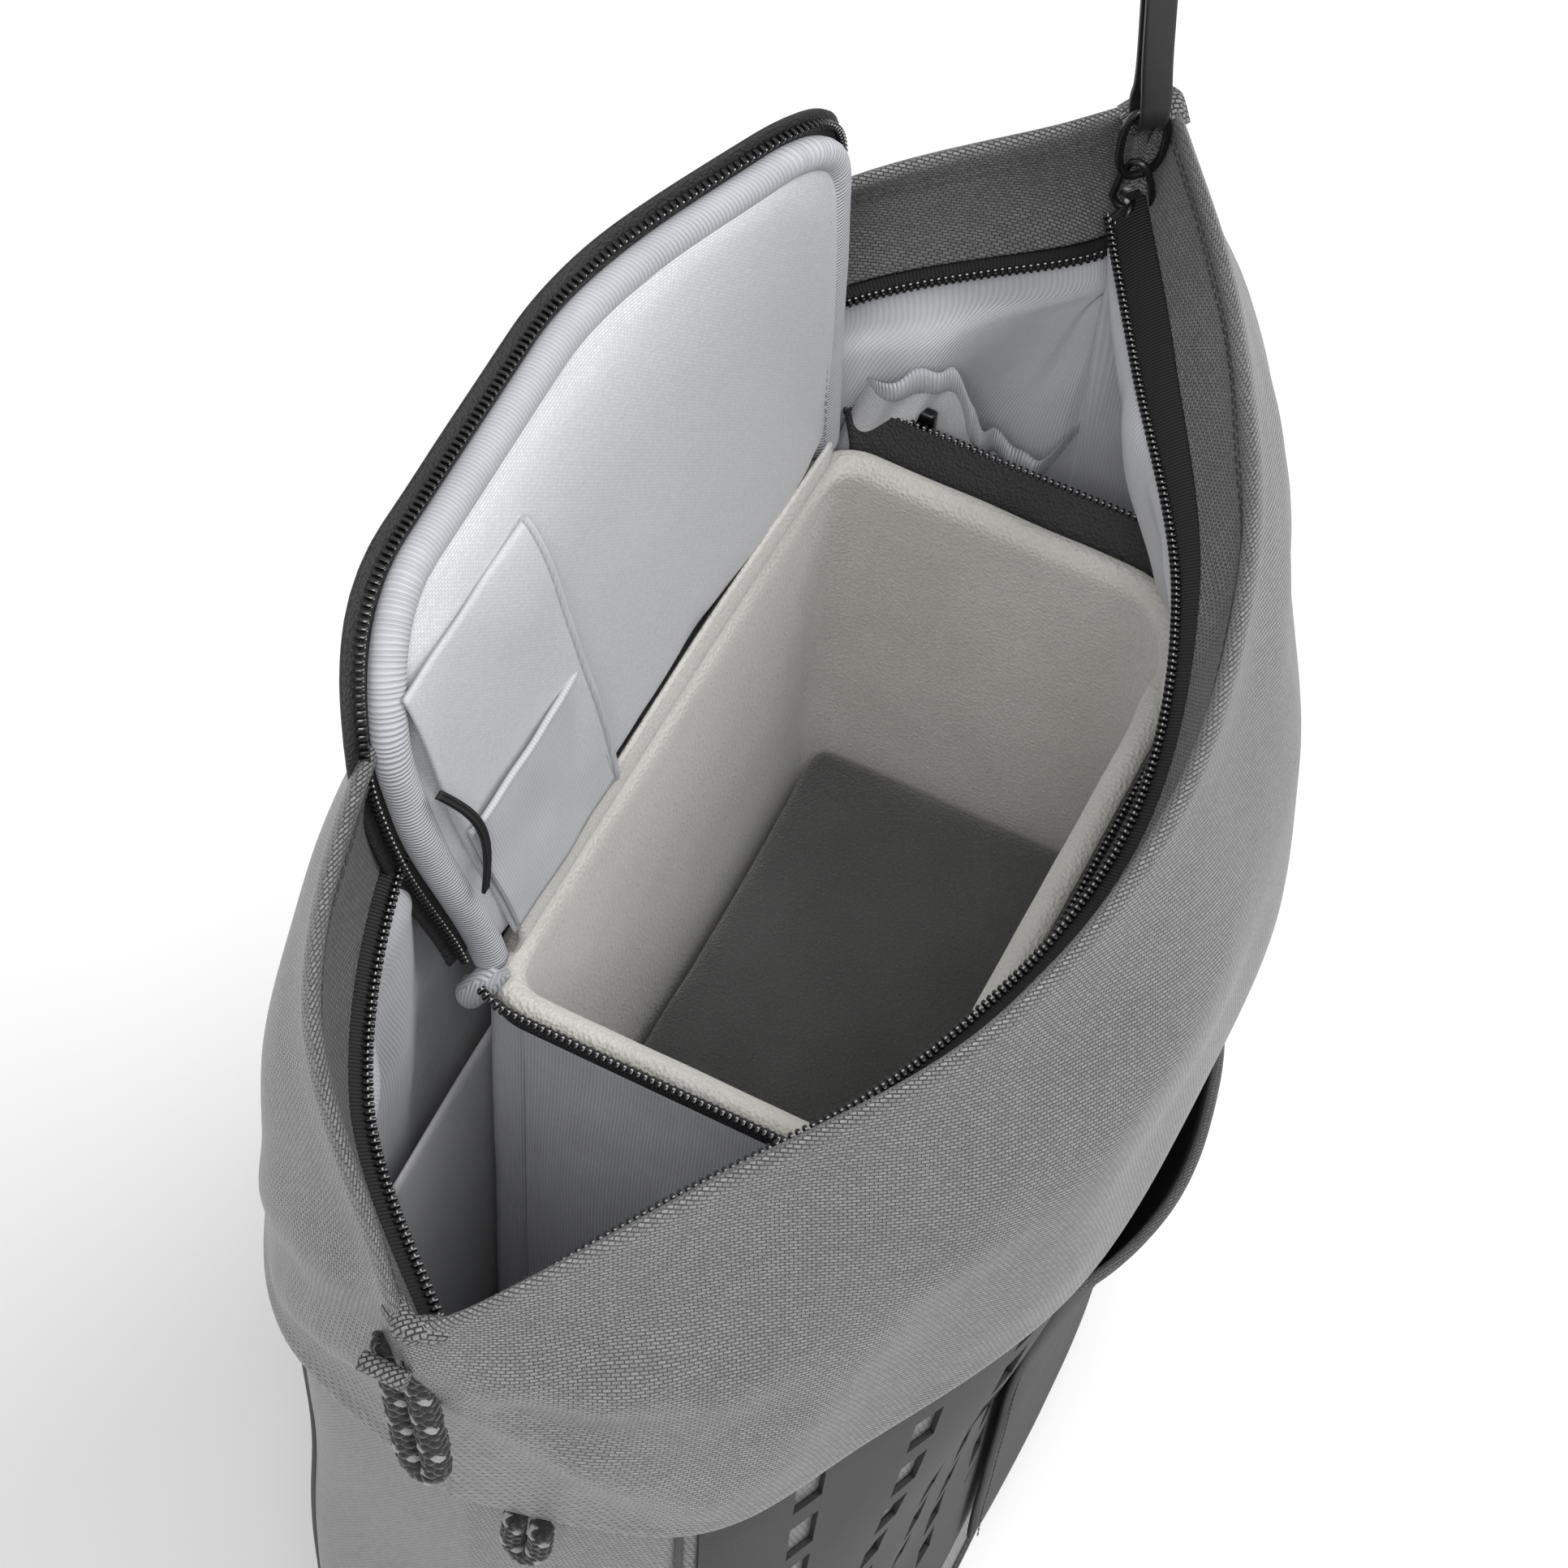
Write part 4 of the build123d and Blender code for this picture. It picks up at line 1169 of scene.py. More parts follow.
# %% Insert walls
FLOOR_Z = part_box("insert_wall_near")[0].z
WALL_PAD = 4.2 * MM
WALLS = {
    "near": (SIDE_START, SIDE_END), "front": (SIDE_END, 1 - SIDE_END),
    "far": (1 - SIDE_END, 1 - SIDE_START), "back": (1 - SIDE_START, 1 + SIDE_START),
}


def wall_place(start, end, swell):
    """A place function for one wall, from share start to share end of the way round."""
    def place(u, v):
        share = start + (end - start) * u
        z = FLOOR_Z + (RIM_Z - 1.2 * MM - FLOOR_Z) * v
        point = round_insert(share, -0.2 * MM, z)
        full = math.sin(math.pi * u) ** 0.8 * blend_in(0, 0.12, v) * blend_in(1.0, 0.86, v)
        away = round_insert(share, 1 * MM, z) - point
        dimple = noise.noise(point * 26) * 1.3 + noise.noise(point * 70) * 0.4
        return point + away.normalized() * (swell * full + dimple * full * MM)
    return place


for word, (start, end) in WALLS.items():
    swell = {"near": 4.0, "far": 2.5, "front": 2.0, "back": 0.0}[word] * MM
    wall = cloth(f"insert_side_{word}", 64, 70, wall_place(start, end, swell), WALL_PAD)
    dress(wall, INSERT_CLOTH, "insert", "insert_fabric", f"insert_wall_{word}")

# %% [markdown]
# ## Plates with a rounded edge
# The insert's floor and its two shelves are flat pads on the same outline. A circle is drawn to the
# outline, its flat faces are inset a few times, so that a simulation or a bevel has rings to work
# with, and its edge is rounded.

# %% Rounded plates
def rounded_plate(name, ring, low, high, edge):
    """A flat pad on the outline given by ring(t), from low to high, with its edges rounded."""
    bpy.ops.mesh.primitive_cylinder_add(vertices=RING_STEPS, radius=1, depth=high - low)
    plate = named(name)
    for vertex in plate.data.vertices:
        share = (math.atan2(vertex.co.y, vertex.co.x) / math.tau - 0.25) % 1
        spot = ring(share)
        vertex.co = Vector((spot.x, spot.y, vertex.co.z + (low + high) / 2))
    for inset in (0.8, 1.5, 2.5):
        inset_caps(plate, edge * inset)
    round_edges(plate, edge)
    return smooth(unwrapped(plate, outwards_too=True))


insert_base = rounded_plate(
    "insert_base", lambda s: round_insert(s, 0, 0), insert_low.z, FLOOR_Z - 0.2 * MM, 1.5 * MM)
dress(insert_base, INSERT_CLOTH, "insert", "insert_fabric", "insert_floor")

# %% [markdown]
# ## Fleece
# The inside is faced with fleece that rolls over the top of the walls, so its profile starts outside,
# goes over the soft rim and drops to the floor. It puckers a little at the corners.

# %% Fleece
def fleece_place(u, v):
    """From outside the rim, over it and down inside to the floor."""
    pucker = sum(bump(c, 0.012, u) for c in (0.155, 0.34, 0.615, 0.642, 0.66, 0.845)) * 0.9
    lump = noise.noise(round_insert(u, 0, 0) * 60) * 0.8
    top = RIM_Z + (1.2 + lump * 0.5) * MM
    profile = [
        (-0.6, RIM_Z - 2.5 * MM), (-0.7, top - 0.6 * MM), (-2.2, top + 0.7 * MM),
        (-4.0 - pucker, top + 0.5 * MM), (-6.1 - pucker, top - 1.6 * MM),
        (-6.5 - lump * 0.4, top - 6 * MM), (-6.2 - lump * 0.6, top - 14 * MM), (-6.0, top - 40 * MM),
        (-6.0, RIM_Z - 110 * MM), (-6.0, RIM_Z - 220 * MM), (-6.0, FLOOR_Z + 0.4 * MM),
    ]
    return along([round_insert(u, grow * MM, z) for grow, z in profile], v)


fleece = cloth("fleece_facing", 200, 70, fleece_place, 0.5 * MM, seam=True, outward=-1.0)
dress(fleece, FLEECE, "insert", "fleece", "insert_fleece")

# %% [markdown]
# ## The rim's zip
# The open half of the insert's zip is sewn round three sides of its rim and flares out. Its tape is a
# coarse black knit, and the coil stands on the free edge.

# %% Rim zip
RIM_FROM, RIM_TO = SIDE_START - 0.012, 1 - SIDE_START + 0.012


def rim_place(u, v):
    """The rim's tape: u goes round from the hinge's near end, and v out to the free edge."""
    share = RIM_FROM + (RIM_TO - RIM_FROM) * u
    far = blend_in(0.5, 0.8, u)
    wave = noise.noise(Vector((u * 9, 3.3, 0))) * 0.8
    reach = 4.2 + 2.2 * far + wave
    profile = [(0.3, -3.5, 0.3), (0.45, -0.4, 0.45), (1.8, 2.4, 1.0), (reach * 0.75, 5.6 + wave, 1.8),
               (reach, 8.4 - far + wave, 2.4)]
    return along([round_insert(share, g * MM, RIM_Z + z * MM, a * MM) for g, z, a in profile], v)


rim = cloth("rim_tape_cloth", 240, 12, rim_place, 0.9 * MM)
dress(rim, RIM_TAPE, "insert", "zip_tape", "insert_rim_zip")


def pressed(piece):
    """Gives a piece of the rim's zip a mesh of its own."""
    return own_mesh(piece)


pressed(rim)
edge = steps(lambda u: rim_place(u, 1.0), 200)
rim_coil = smooth(row_along("rim_coil", tooth("tooth", 0.95, 2.0, 1.7), edge, COIL_PITCH))
dress(rim_coil, COIL, "insert", "zip_tape")
pressed(rim_coil)
# The pale dots over the rim's coil are its thread and also painted highlight, for the glossy coil's glints.
top = steps(lambda u: rim_place(u, 0.99) + Vector((0, 0, 0.85 * MM)), 200)
rim_dots = smooth(row_along("rim_coil_thread_and_glints", thread_and_glint_dot("dot"), top, COIL_PITCH), 60)
dress(rim_dots, COIL_THREAD_AND_PAINTED_GLINT, "insert", "zip_tape")
pressed(rim_dots)

# %% [markdown]
# ## The lid
# The lid stands open and leans on the back of the collar, upright at its far end and leaning further
# towards its near end, with its top bent back over the collar's edge. It is easier to make flat and to
# bend afterwards: `on_lid` takes a place in the flat lid, as a share s along the hinge, a distance b
# from it and a height c off its middle, to its place on the bag.

# %% The lid's bend
lid_low, lid_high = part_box("lid_panel")
HINGE = Vector((0, lid_high.y, lid_low.z))
LID_X0, LID_X1 = lid_low.x, lid_high.x - 1 * MM
LID_WIDE = LID_X1 - LID_X0
LID_MIDDLE = (lid_low.y + lid_high.y) / 2
LID_NEAR, LID_FAR = 101 * MM, 106 * MM
LEAN_NEAR, LEAN_FAR, BEND = (math.radians(a) for a in (12.5, 1.5, 32))
LID_FLAT = 100 * MM       # the flat lid's own length, which is drawn to the real one at each end


def on_lid(s, b, c):
    """The place on the bag of a place s, b, c of the flat lid."""
    b *= (LID_NEAR + (LID_FAR - LID_NEAR) * s) / LID_FLAT
    lean = LEAN_NEAR + (LEAN_FAR - LEAN_NEAR) * blend_in(0.5, 1.05, s)
    bend = BEND * (1 - blend_in(0.5, 1.0, s))
    y, z, parts = LID_MIDDLE, HINGE.z, 16
    for i in range(parts):
        tilt = lean + bend * blend_in(68 * MM, 112 * MM, b * (i + 0.5) / parts)
        y += math.sin(tilt) * b / parts
        z += math.cos(tilt) * b / parts
    tilt = lean + bend * blend_in(68 * MM, 112 * MM, b)
    flare = 8 * MM * (1 - s) ** 3 * blend_in(0, 60 * MM, b)
    return Vector((LID_X0 + LID_WIDE * s - flare, y + c * math.cos(tilt), z - c * math.sin(tilt)))


def with_lid(piece):
    """Gives a piece of the lid a mesh of its own."""
    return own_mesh(piece)


print("the lid's top corners", [[round(c, 3) for c in on_lid(s, LID_FLAT, 0)] for s in (0, 1)])

# %% [markdown]
# ## The lid's outline
# Laid flat, the lid is a rectangle whose two free corners are round, the near one more than the far
# one. The pad, binding, tape and coil all follow this outline, so its points are spread evenly and
# `lid_edge` finds any place along it, moved outwards or off the lid's middle.

# %% The lid's outline
NEAR_ROUND, FAR_ROUND = 30 * MM, 20 * MM


def lid_outline(grow=0.0):
    """The flat lid's outline in metres, from the hinge's near end over the free edge to its far end."""
    points = [Vector((-grow, 1.5 * MM)), Vector((-grow, 20 * MM)), Vector((-grow, 45 * MM))]
    for cx, radius, start in ((NEAR_ROUND, NEAR_ROUND, 180), (LID_WIDE - FAR_ROUND, FAR_ROUND, 90)):
        for i in range(13):
            a = math.radians(start - 90 * i / 12)
            centre = Vector((cx, LID_FLAT - radius))
            points.append(centre + Vector((math.cos(a), math.sin(a))) * (radius + grow))
    points += [Vector((LID_WIDE + grow, z * MM)) for z in (60, 35, 15, 1.5)]
    return points


def even(points, count):
    """The same line with count evenly spaced points."""
    reach = lengths(points)
    made, i = [], 0
    for k in range(count):
        distance = reach[-1] * k / (count - 1)
        while i < len(points) - 2 and reach[i + 1] < distance:
            i += 1
        made.append(points[i].lerp(points[i + 1], (distance - reach[i]) / max(reach[i + 1] - reach[i], 1e-9)))
    return made


EDGE_STEPS = 161
LID_EDGE = even(lid_outline(), EDGE_STEPS)


def lid_edge(t, out, c):
    """A place along the lid's free edge, moved out in the lid's plane and up by c."""
    k = min(int(t * (EDGE_STEPS - 1)), EDGE_STEPS - 2)
    spot = LID_EDGE[k].lerp(LID_EDGE[k + 1], t * (EDGE_STEPS - 1) - k)
    a, b = LID_EDGE[max(k - 1, 0)], LID_EDGE[min(k + 2, EDGE_STEPS - 1)]
    ahead = (b - a).normalized()
    spot = spot + Vector((-ahead.y, ahead.x)) * out
    return on_lid(spot.x / LID_WIDE, spot.y, c)


print("lid's edge", round(lengths(LID_EDGE)[-1], 3), "m long")

# %% [markdown]
# ## Padding by simulation
# Foam under a sewn cover swells between its edges. The pad starts as a thin flat plate, is remeshed so
# that all its cloth can move, and is blown up by a cloth simulation with pressure and no gravity. The
# result is capped, so that no point moves further than the foam would push it.

# %% Plumping a pad
def plump(pad, cap, voxel=4.5 * MM, pressure=4.0, frames=20):
    """Blows a closed pad up by cloth simulation, by at most cap, and rounds it off."""
    modify(pad, "REMESH", mode="VOXEL", voxel_size=voxel)
    before = [v.co.copy() for v in pad.data.vertices]
    alone(pad)
    soft = pad.modifiers.new("soft", "CLOTH")
    soft.settings.use_pressure = True
    soft.settings.uniform_pressure_force = pressure
    soft.settings.effector_weights.gravity = 0.0
    soft.settings.quality = 4
    for step in range(1, frames + 1):
        bpy.context.scene.frame_set(step)
    bpy.ops.object.modifier_apply(modifier=soft.name)
    bpy.context.scene.frame_set(1)
    farthest = 0.0
    for vertex, start in zip(pad.data.vertices, before):
        move = vertex.co - start
        farthest = max(farthest, move.length)
        if move.length > cap:
            vertex.co = start + move * (cap / move.length)
    print(pad.name, "moved up to", round(farthest, 4), "and was held to", cap)
    return subdivide(pad)


def flat_uv(obj, across, down):
    """A UV map in metres from two axes of the flat piece, as its remeshed cloth has none."""
    layer = obj.data.uv_layers.new(name="UVMap")
    for loop in obj.data.loops:
        co = obj.data.vertices[loop.vertex_index].co
        layer.data[loop.index].uv = (co[across], co[down])

# %% [markdown]
# ## The lid's pad
# The pad is a flat plate on the lid's outline. It is plumped while it is flat, because the outline
# and the caps of the simulation are simple there, and only then laid on the bent lid.

# %% Lid pad
LID_PAD = 3.4 * MM
ring = LID_EDGE + [Vector((LID_WIDE * share, 1.5 * MM)) for share in (0.75, 0.5, 0.25)]
bpy.ops.mesh.primitive_circle_add(vertices=len(ring), radius=1, fill_type="NGON")
lid = named("lid_pad")
for vertex, spot in zip(lid.data.vertices, ring):
    vertex.co = Vector((spot.x, spot.y, -LID_PAD / 2))
edit(lid)
bpy.ops.mesh.extrude_region_move(TRANSFORM_OT_translate={"value": (0, 0, LID_PAD)})
close_edit()
turned_out(lid)
plump(lid, 2.6 * MM, voxel=3.5 * MM)
flat_uv(lid, 0, 1)
for vertex in lid.data.vertices:
    x, b, c = vertex.co
    hollow = 0.9 * MM * noise.noise(Vector((x * 22, b * 22, 1.7)))
    vertex.co = on_lid(x / LID_WIDE, b, -c + hollow)
smooth(turned_out(lid), 60)
dress(lid, LINING_PLAIN, "insert_lid", "insert_fabric", "lid_panel")
with_lid(lid)

# %% [markdown]
# ## The lid's edge
# A wide ribbed binding is rolled over the lid's free edge, widest at the far end where a row of
# stitches shows. Outside it come the zip tape and its coil.

# %% Binding, tape and coil of the lid
def binding_place(u, v):
    """Round the lid's edge at v, and along it at u."""
    far = blend_in(0.72, 0.80, u)
    wide, high = (3.6 + 1.9 * far) * MM, (3.7 + 0.4 * noise.noise(Vector((u * 14, 0, 0)))) * MM
    angle = math.tau * v
    return lid_edge(u, -wide * 0.75 + wide * math.cos(angle), high * math.sin(angle))


binding = cloth("lid_binding", 220, 18, binding_place)
edit(binding)
bpy.ops.mesh.remove_doubles(threshold=1e-5)
bpy.ops.mesh.fill_holes(sides=40)
bpy.ops.mesh.normals_make_consistent(inside=False)
close_edit()
dress(binding, BINDING, "insert_lid", "insert_fabric")
with_lid(binding)

seam_line = steps(lambda u: lid_edge(u, -9.6 * MM, -3.7 * MM), 60, 0.775, 0.985)
seam = stitch_row("lid_stitches", seam_line, 2.6, 1.8)
dress(seam, THREAD_PALE, "insert_lid", "insert_fabric")
with_lid(seam)


def lid_tape_place(u, v):
    """The lid's tape: u goes along the edge, and v out to its free side."""
    wave = noise.noise(Vector((u * 12, 7.7, 0))) * 0.6
    return lid_edge(0.02 + 0.77 * u, (-1.0 + 6.6 * v) * MM, (1.4 + 1.5 * v + wave) * MM)


lid_tape = cloth("lid_tape", 200, 8, lid_tape_place, 0.9 * MM)
dress(lid_tape, RIM_TAPE, "insert_lid", "zip_tape", "lid_zip")
with_lid(lid_tape)
edge = steps(lambda u: lid_tape_place(u, 0.62) + on_lid(0, 0, -1.2 * MM) - on_lid(0, 0, 0), 200)
lid_coil = smooth(row_along("lid_coil", tooth("tooth", 0.95, 2.0, 1.6), edge, COIL_PITCH))
dress(lid_coil, COIL, "insert_lid", "zip_tape")
with_lid(lid_coil)
# The pale dots over the lid's coil are its thread and also painted highlight, for the glossy coil's glints.
top = [p + Vector((0, -0.85 * MM, 0.2 * MM)) for p in edge]
lid_dots = smooth(row_along("lid_coil_thread_and_glints", thread_and_glint_dot("dot"), top, COIL_PITCH), 60)
dress(lid_dots, COIL_THREAD_AND_PAINTED_GLINT, "insert_lid", "zip_tape")
with_lid(lid_dots)

# %% [markdown]
# ## Pockets on the lid
# On the near third of the lid a slip pocket opens towards the far end, with a smaller ribbed band
# sewn over its lower half and an elastic edge for a pen at its near side. Each one is a thin sheet
# just off the lid, with its open edge folded and standing a little proud.

# %% Lid pockets
def patch_place(s0, s1, b0, b1, lift, open_lift, open_side):
    """A pocket patch between shares s and distances b. open_side is "far" or "top"."""
    def place(u, v):
        s, b = s0 + (s1 - s0) * u, (b0 + (b1 - b0) * v) * MM
        free = blend_in(0.45, 1.0, u if open_side == "far" else v)
        c = lift + open_lift * free * math.sin(math.pi * (v if open_side == "far" else u)) ** 0.5
        c += noise.noise(Vector((s * 14, b * 60, lift))) * 0.5
        return on_lid(s, b, -c * MM)
    return place


def folded_edge(name, place, at, radius):
    """The fold along a patch's open edge, where at(t) is the edge's own u, v."""
    fold_tube = unwrapped(tube(name, steps(lambda t: place(*at(t)), 40), radius, 8))
    dress(fold_tube, LINING, "insert_lid", "lining_fabric")
    return with_lid(fold_tube)


pocket_place = patch_place(0.045, 0.315, 7, 86, 5.0, 2.2, "far")
lid_pocket = cloth("lid_slip_pocket", 40, 50, pocket_place, 0.7 * MM)
dress(lid_pocket, LINING_PLAIN, "insert_lid", "lining_fabric", "lid_pocket")
with_lid(lid_pocket)
folded_edge("lid_pocket_fold", pocket_place, lambda t: (1.0, t), 0.9 * MM)
band_place = patch_place(0.05, 0.305, 9, 46, 6.3, 1.2, "top")
lid_band = cloth("lid_pocket_band", 40, 30, band_place, 0.7 * MM)
dress(lid_band, LINING, "insert_lid", "lining_fabric")
with_lid(lid_band)
folded_edge("lid_band_fold", band_place, lambda t: (t, 1.0), 0.8 * MM)


def elastic_place(u, v):
    """A band sewn at both ends, which bows away from the lid between them."""
    bow = math.sin(math.pi * u)
    return on_lid(0.022 + 0.012 * v + 0.030 * bow, (30 + 34 * u) * MM, -(6.4 + 1.8 * bow) * MM)


elastic = cloth("lid_pen_elastic", 40, 6, elastic_place, 0.8 * MM)
dress(elastic, WEBBING, "insert_lid", "elastic", "lid_elastic")
with_lid(elastic)

# %% [markdown]
# ## The lid's hinge
# The hinge is cloth: a strip outside and a strip of fleece inside, each sewn to the back wall and to
# the lid. Both are built in place, then taken off their body and left where they stand.

# %% Hinge strips
hinge_x0, hinge_x1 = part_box("hinge_binding")[0].x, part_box("hinge_binding")[1].x


HINGE_REACH = 8 * MM      # how far each strip runs up the lid


def hinge_place(y_low, z_low, off_middle, belly):
    """A strip from a line on the wall to a line on the lid, bowed by belly."""
    def place(u, v):
        x = hinge_x0 + (hinge_x1 - hinge_x0) * u
        low = Vector((x, y_low, z_low))
        high = on_lid((x - LID_X0) / LID_WIDE, HINGE_REACH, off_middle)
        return low.lerp(high, v) + Vector((0, belly * math.sin(math.pi * v), 0))
    return place


outside_place = hinge_place(
    INSERT_Y1 + 0.9 * MM, RIM_Z - 12 * MM, HINGE.y + 0.8 * MM - LID_MIDDLE, 0.8 * MM)
outer_hinge = cloth("hinge_strip_outside", 60, 12, outside_place, 0.9 * MM)
dress(outer_hinge, BINDING, "insert", "insert_fabric", "hinge_binding")
inside_place = hinge_place(INSERT_Y1 - 4.2 * MM, RIM_Z + 0.5 * MM, -4.6 * MM, -1.6 * MM)
inner_hinge = cloth("hinge_strip_inside", 60, 12, inside_place, 0.9 * MM)
dress(inner_hinge, FLEECE, "insert", "fleece")
for strip in (outer_hinge, inner_hinge):
    strip.parent = None
    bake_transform(strip)

corner = [Vector((INSERT_X0 + x * MM, INSERT_Y1 + y * MM, RIM_Z + z * MM)) for x, y, z in (
    (5, 1, -6), (1, -0.5, -1), (1.5, -3, 4), (5, -5, 7.5))]
tab = subdivide(tube("hinge_corner_roll", steps(lambda t: along(corner, t), 16), 3.4 * MM, 12))
dress(unwrapped(tab), BINDING, "insert", "insert_fabric")

# %% [markdown]
# ## Shelves
# Two felt pads divide the insert. They are foam plates with a soft edge, blown up a little by the same
# simulation as the lid.

# %% Shelves
SHELF_SKIN = 1.2 * MM     # left free above and below a shelf, for the padding to swell into


def shelf_outline(share):
    """The insert's outline, drawn in past its walls and fleece."""
    return round_insert(share, -7.6 * MM, 0)


for word in ("lower", "upper"):
    low_box, high_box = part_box(f"shelf_{word}")
    low_z, high_z = low_box.z + SHELF_SKIN, high_box.z - SHELF_SKIN
    shelf = rounded_plate(f"felt_shelf_{word}", shelf_outline, low_z, high_z, SHELF_SKIN)
    plump(shelf, 1.6 * MM, voxel=4.5 * MM, pressure=3.0, frames=12)
    smooth(shelf, 60)
    dress(shelf, FELT, f"shelf_{word}", "felt", f"shelf_{word}")

# %% [markdown]
# ## Slotted laminate
# The lower front is faced with a dark laminate, cut with upright slots through which the grey cloth
# shows. The slots are real holes: the sheet is a fine grid laid out flat, the faces inside each slot
# are deleted, and the rest is given its thickness and placed on the front.

# %% Slotted laminate
panel_low, panel_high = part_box("slotted_panel")
SLOT_HALF = 132 * MM      # half the panel's width when laid flat
COLUMN, ROW, SLOT_WIDE, SLOT_HIGH = 27 * MM, 24 * MM, 6.5 * MM, 16 * MM
PANEL_T = (CORNER_T + 0.012, 1 - CORNER_T - 0.012)


def in_slot(x, z):
    """Whether a place on the flat laminate is inside a slot. Every other column is half a row higher."""
    column = round(x / COLUMN)
    shift = 0.5 * ROW if column % 2 else 0.0
    above = (z - shift) / ROW
    off_x, off_z = x - column * COLUMN, (above - round(above)) * ROW
    near_end = abs(x) > SLOT_HALF - 8 * MM
    open_rows = 14 * MM < z - panel_low.z < panel_high.z - panel_low.z - 6 * MM
    return abs(off_x) < SLOT_WIDE / 2 and abs(off_z) < SLOT_HIGH / 2 and open_rows and not near_end


def panel_place(u, v):
    """The laminate on the front. Its top edge tucks in under the collar's hem."""
    t = PANEL_T[0] + (PANEL_T[1] - PANEL_T[0]) * u
    z = panel_low.z + (panel_high.z + 12 * MM - panel_low.z) * v
    proud = 0.4 * MM * blend_in(1.0, 0.93, v) + 0.5 * MM
    return body_skin(-1, t, min(z, panel_high.z + 8 * MM), proud)


panel = cloth("laminate_sheet", 162, 168, panel_place)
whole_sheet = len(panel.data.polygons)


def inside_slot(face):
    """Whether a face's middle on the flat sheet is inside a slot."""
    flat = panel.data.uv_layers.active.data
    middle = sum((flat[i].uv for i in face.loop_indices), Vector((0, 0))) / len(face.loop_indices)
    return in_slot(middle.x - flat[0].uv.x - SLOT_HALF, middle.y)


pick_faces(panel, inside_slot)
bpy.ops.mesh.delete(type="FACE")
close_edit()
print("slot faces cut", whole_sheet - len(panel.data.polygons))
modify(panel, "SOLIDIFY", thickness=1.2 * MM, offset=-1.0)
dress(panel, LAMINATE, "bag", "laminate", "slotted_panel")
smooth(panel)

# %% [markdown]
# ## Front pocket
# A stretch pocket stands open over the far half of the laminate. Its cloth bulges out at the rim and
# comes back to the panel below, and a soft binding stiffens the rim.

# %% Front pocket
pocket_low, pocket_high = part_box("front_pocket")
LEAN_OUT = (2.4, 3.5, 8.5, 15.0)          # millimetres that the pocket stands out, from its foot to its rim


def t_at(x, z):
    """The share along the front at which the body reaches x."""
    low, high = 0.0, 1.0
    for _ in range(18):
        middle = (low + high) / 2
        if on_rings(BODY[-1], middle, z).x < x:
            low = middle
        else:
            high = middle
    return (low + high) / 2


def pocket_cloth_place(u, v):
    """The pocket's outside: sewn flat at its sides and foot, and full at its rim."""
    z = pocket_low.z + (pocket_high.z - 1.5 * MM - pocket_low.z) * v
    x = pocket_low.x + (pocket_high.x - pocket_low.x) * u
    bulge = along([Vector((value, 0)) for value in LEAN_OUT], v).x * MM
    full = math.sin(math.pi * min(max(u, 0), 1)) ** 0.6
    point = body_skin(-1, t_at(x, z), z, 3.9 * MM)
    return point + Vector((0, -bulge * full - 0.4 * MM * noise.noise(point * 40), -3 * MM * v * (1 - full)))


pocket_cloth = cloth("front_pocket_cloth", 60, 40, pocket_cloth_place, 1.2 * MM)
dress(pocket_cloth, LAMINATE, "bag", "outer_fabric", "front_pocket")
rim_line = steps(lambda u: pocket_cloth_place(u, 1.0) + Vector((0, -0.4 * MM, 0)), 60)
rim_tube = unwrapped(tube("front_pocket_rim", rim_line, 1.5 * MM, 10))
dress(rim_tube, STRAP_CLOTH, "bag", "outer_fabric")
seam = steps(lambda v: pocket_cloth_place(0.0, v) + Vector((2.2 * MM, -1.3 * MM, 0)), 30)
pocket_seam = stitch_row("front_pocket_stitches", seam)
dress(pocket_seam, THREAD_DARK, "bag", "outer_fabric")

# %% [markdown]
# ## Cord loops
# Each end of the collar carries a loop of braided cord. The braid is real: eight round strands run
# along the cord, four to each hand, and cross in and out of one another, seven dark and one pale.

# %% Braided cord
CORD_DARK = grained("cord_dark", grey(0.02), grey(0.16), size=0.5, rough=0.75, strength=0.8, Sheen_Weight=0.2)
CORD_PALE = grained("cord_pale", grey(0.34), grey(0.66), size=0.4, rough=0.7, Sheen_Weight=0.2)
STRANDS = 8


def braid(name, path, radius, turns, body, *stands_for):
    """A braided cord along path, as one piece of dark strands and one with the pale strand."""
    dark, pale = [], []
    line = even(path, 240)
    frames = []
    side = Vector((0, 1, 0.01)).normalized()
    for i, point in enumerate(line):
        ahead = (line[min(i + 1, len(line) - 1)] - line[max(i - 1, 0)]).normalized()
        side = (side - ahead * side.dot(ahead)).normalized()
        frames.append((point, side.copy(), ahead.cross(side)))
    for k in range(STRANDS):
        hand = 1 if k % 2 else -1
        start = math.tau * (k // 2) / (STRANDS // 2)
        points = []
        for i, (point, a, b) in enumerate(frames):
            angle = start + hand * turns * math.tau * i / (len(frames) - 1)
            ride_over = radius * (0.70 + 0.13 * math.cos(4 * angle * hand + (0 if k % 2 else math.pi)))
            points.append(point + a * math.cos(angle) * ride_over + b * math.sin(angle) * ride_over)
        (dark if k else pale).append(tube("strand", points, radius * 0.40, 6))
    dark.append(tube("core", line, radius * 0.72, 8))
    dress(unwrapped(joined(f"{name}_dark", dark)), CORD_DARK, body, "cord", *stands_for)
    dress(unwrapped(joined(f"{name}_pale", pale)), CORD_PALE, body, "cord")

# %% [markdown]
# ## The path of a cord
# A loop's path is a few points given on one side view: down, round the foot and up again. A
# smooth line joins them, and the whole path is leaned to hang along the collar.

# %% Cord loops
CORD_R = 2.5 * MM
LOOP_LEAN = 8.93          # degrees from upright, as the collar's end slopes


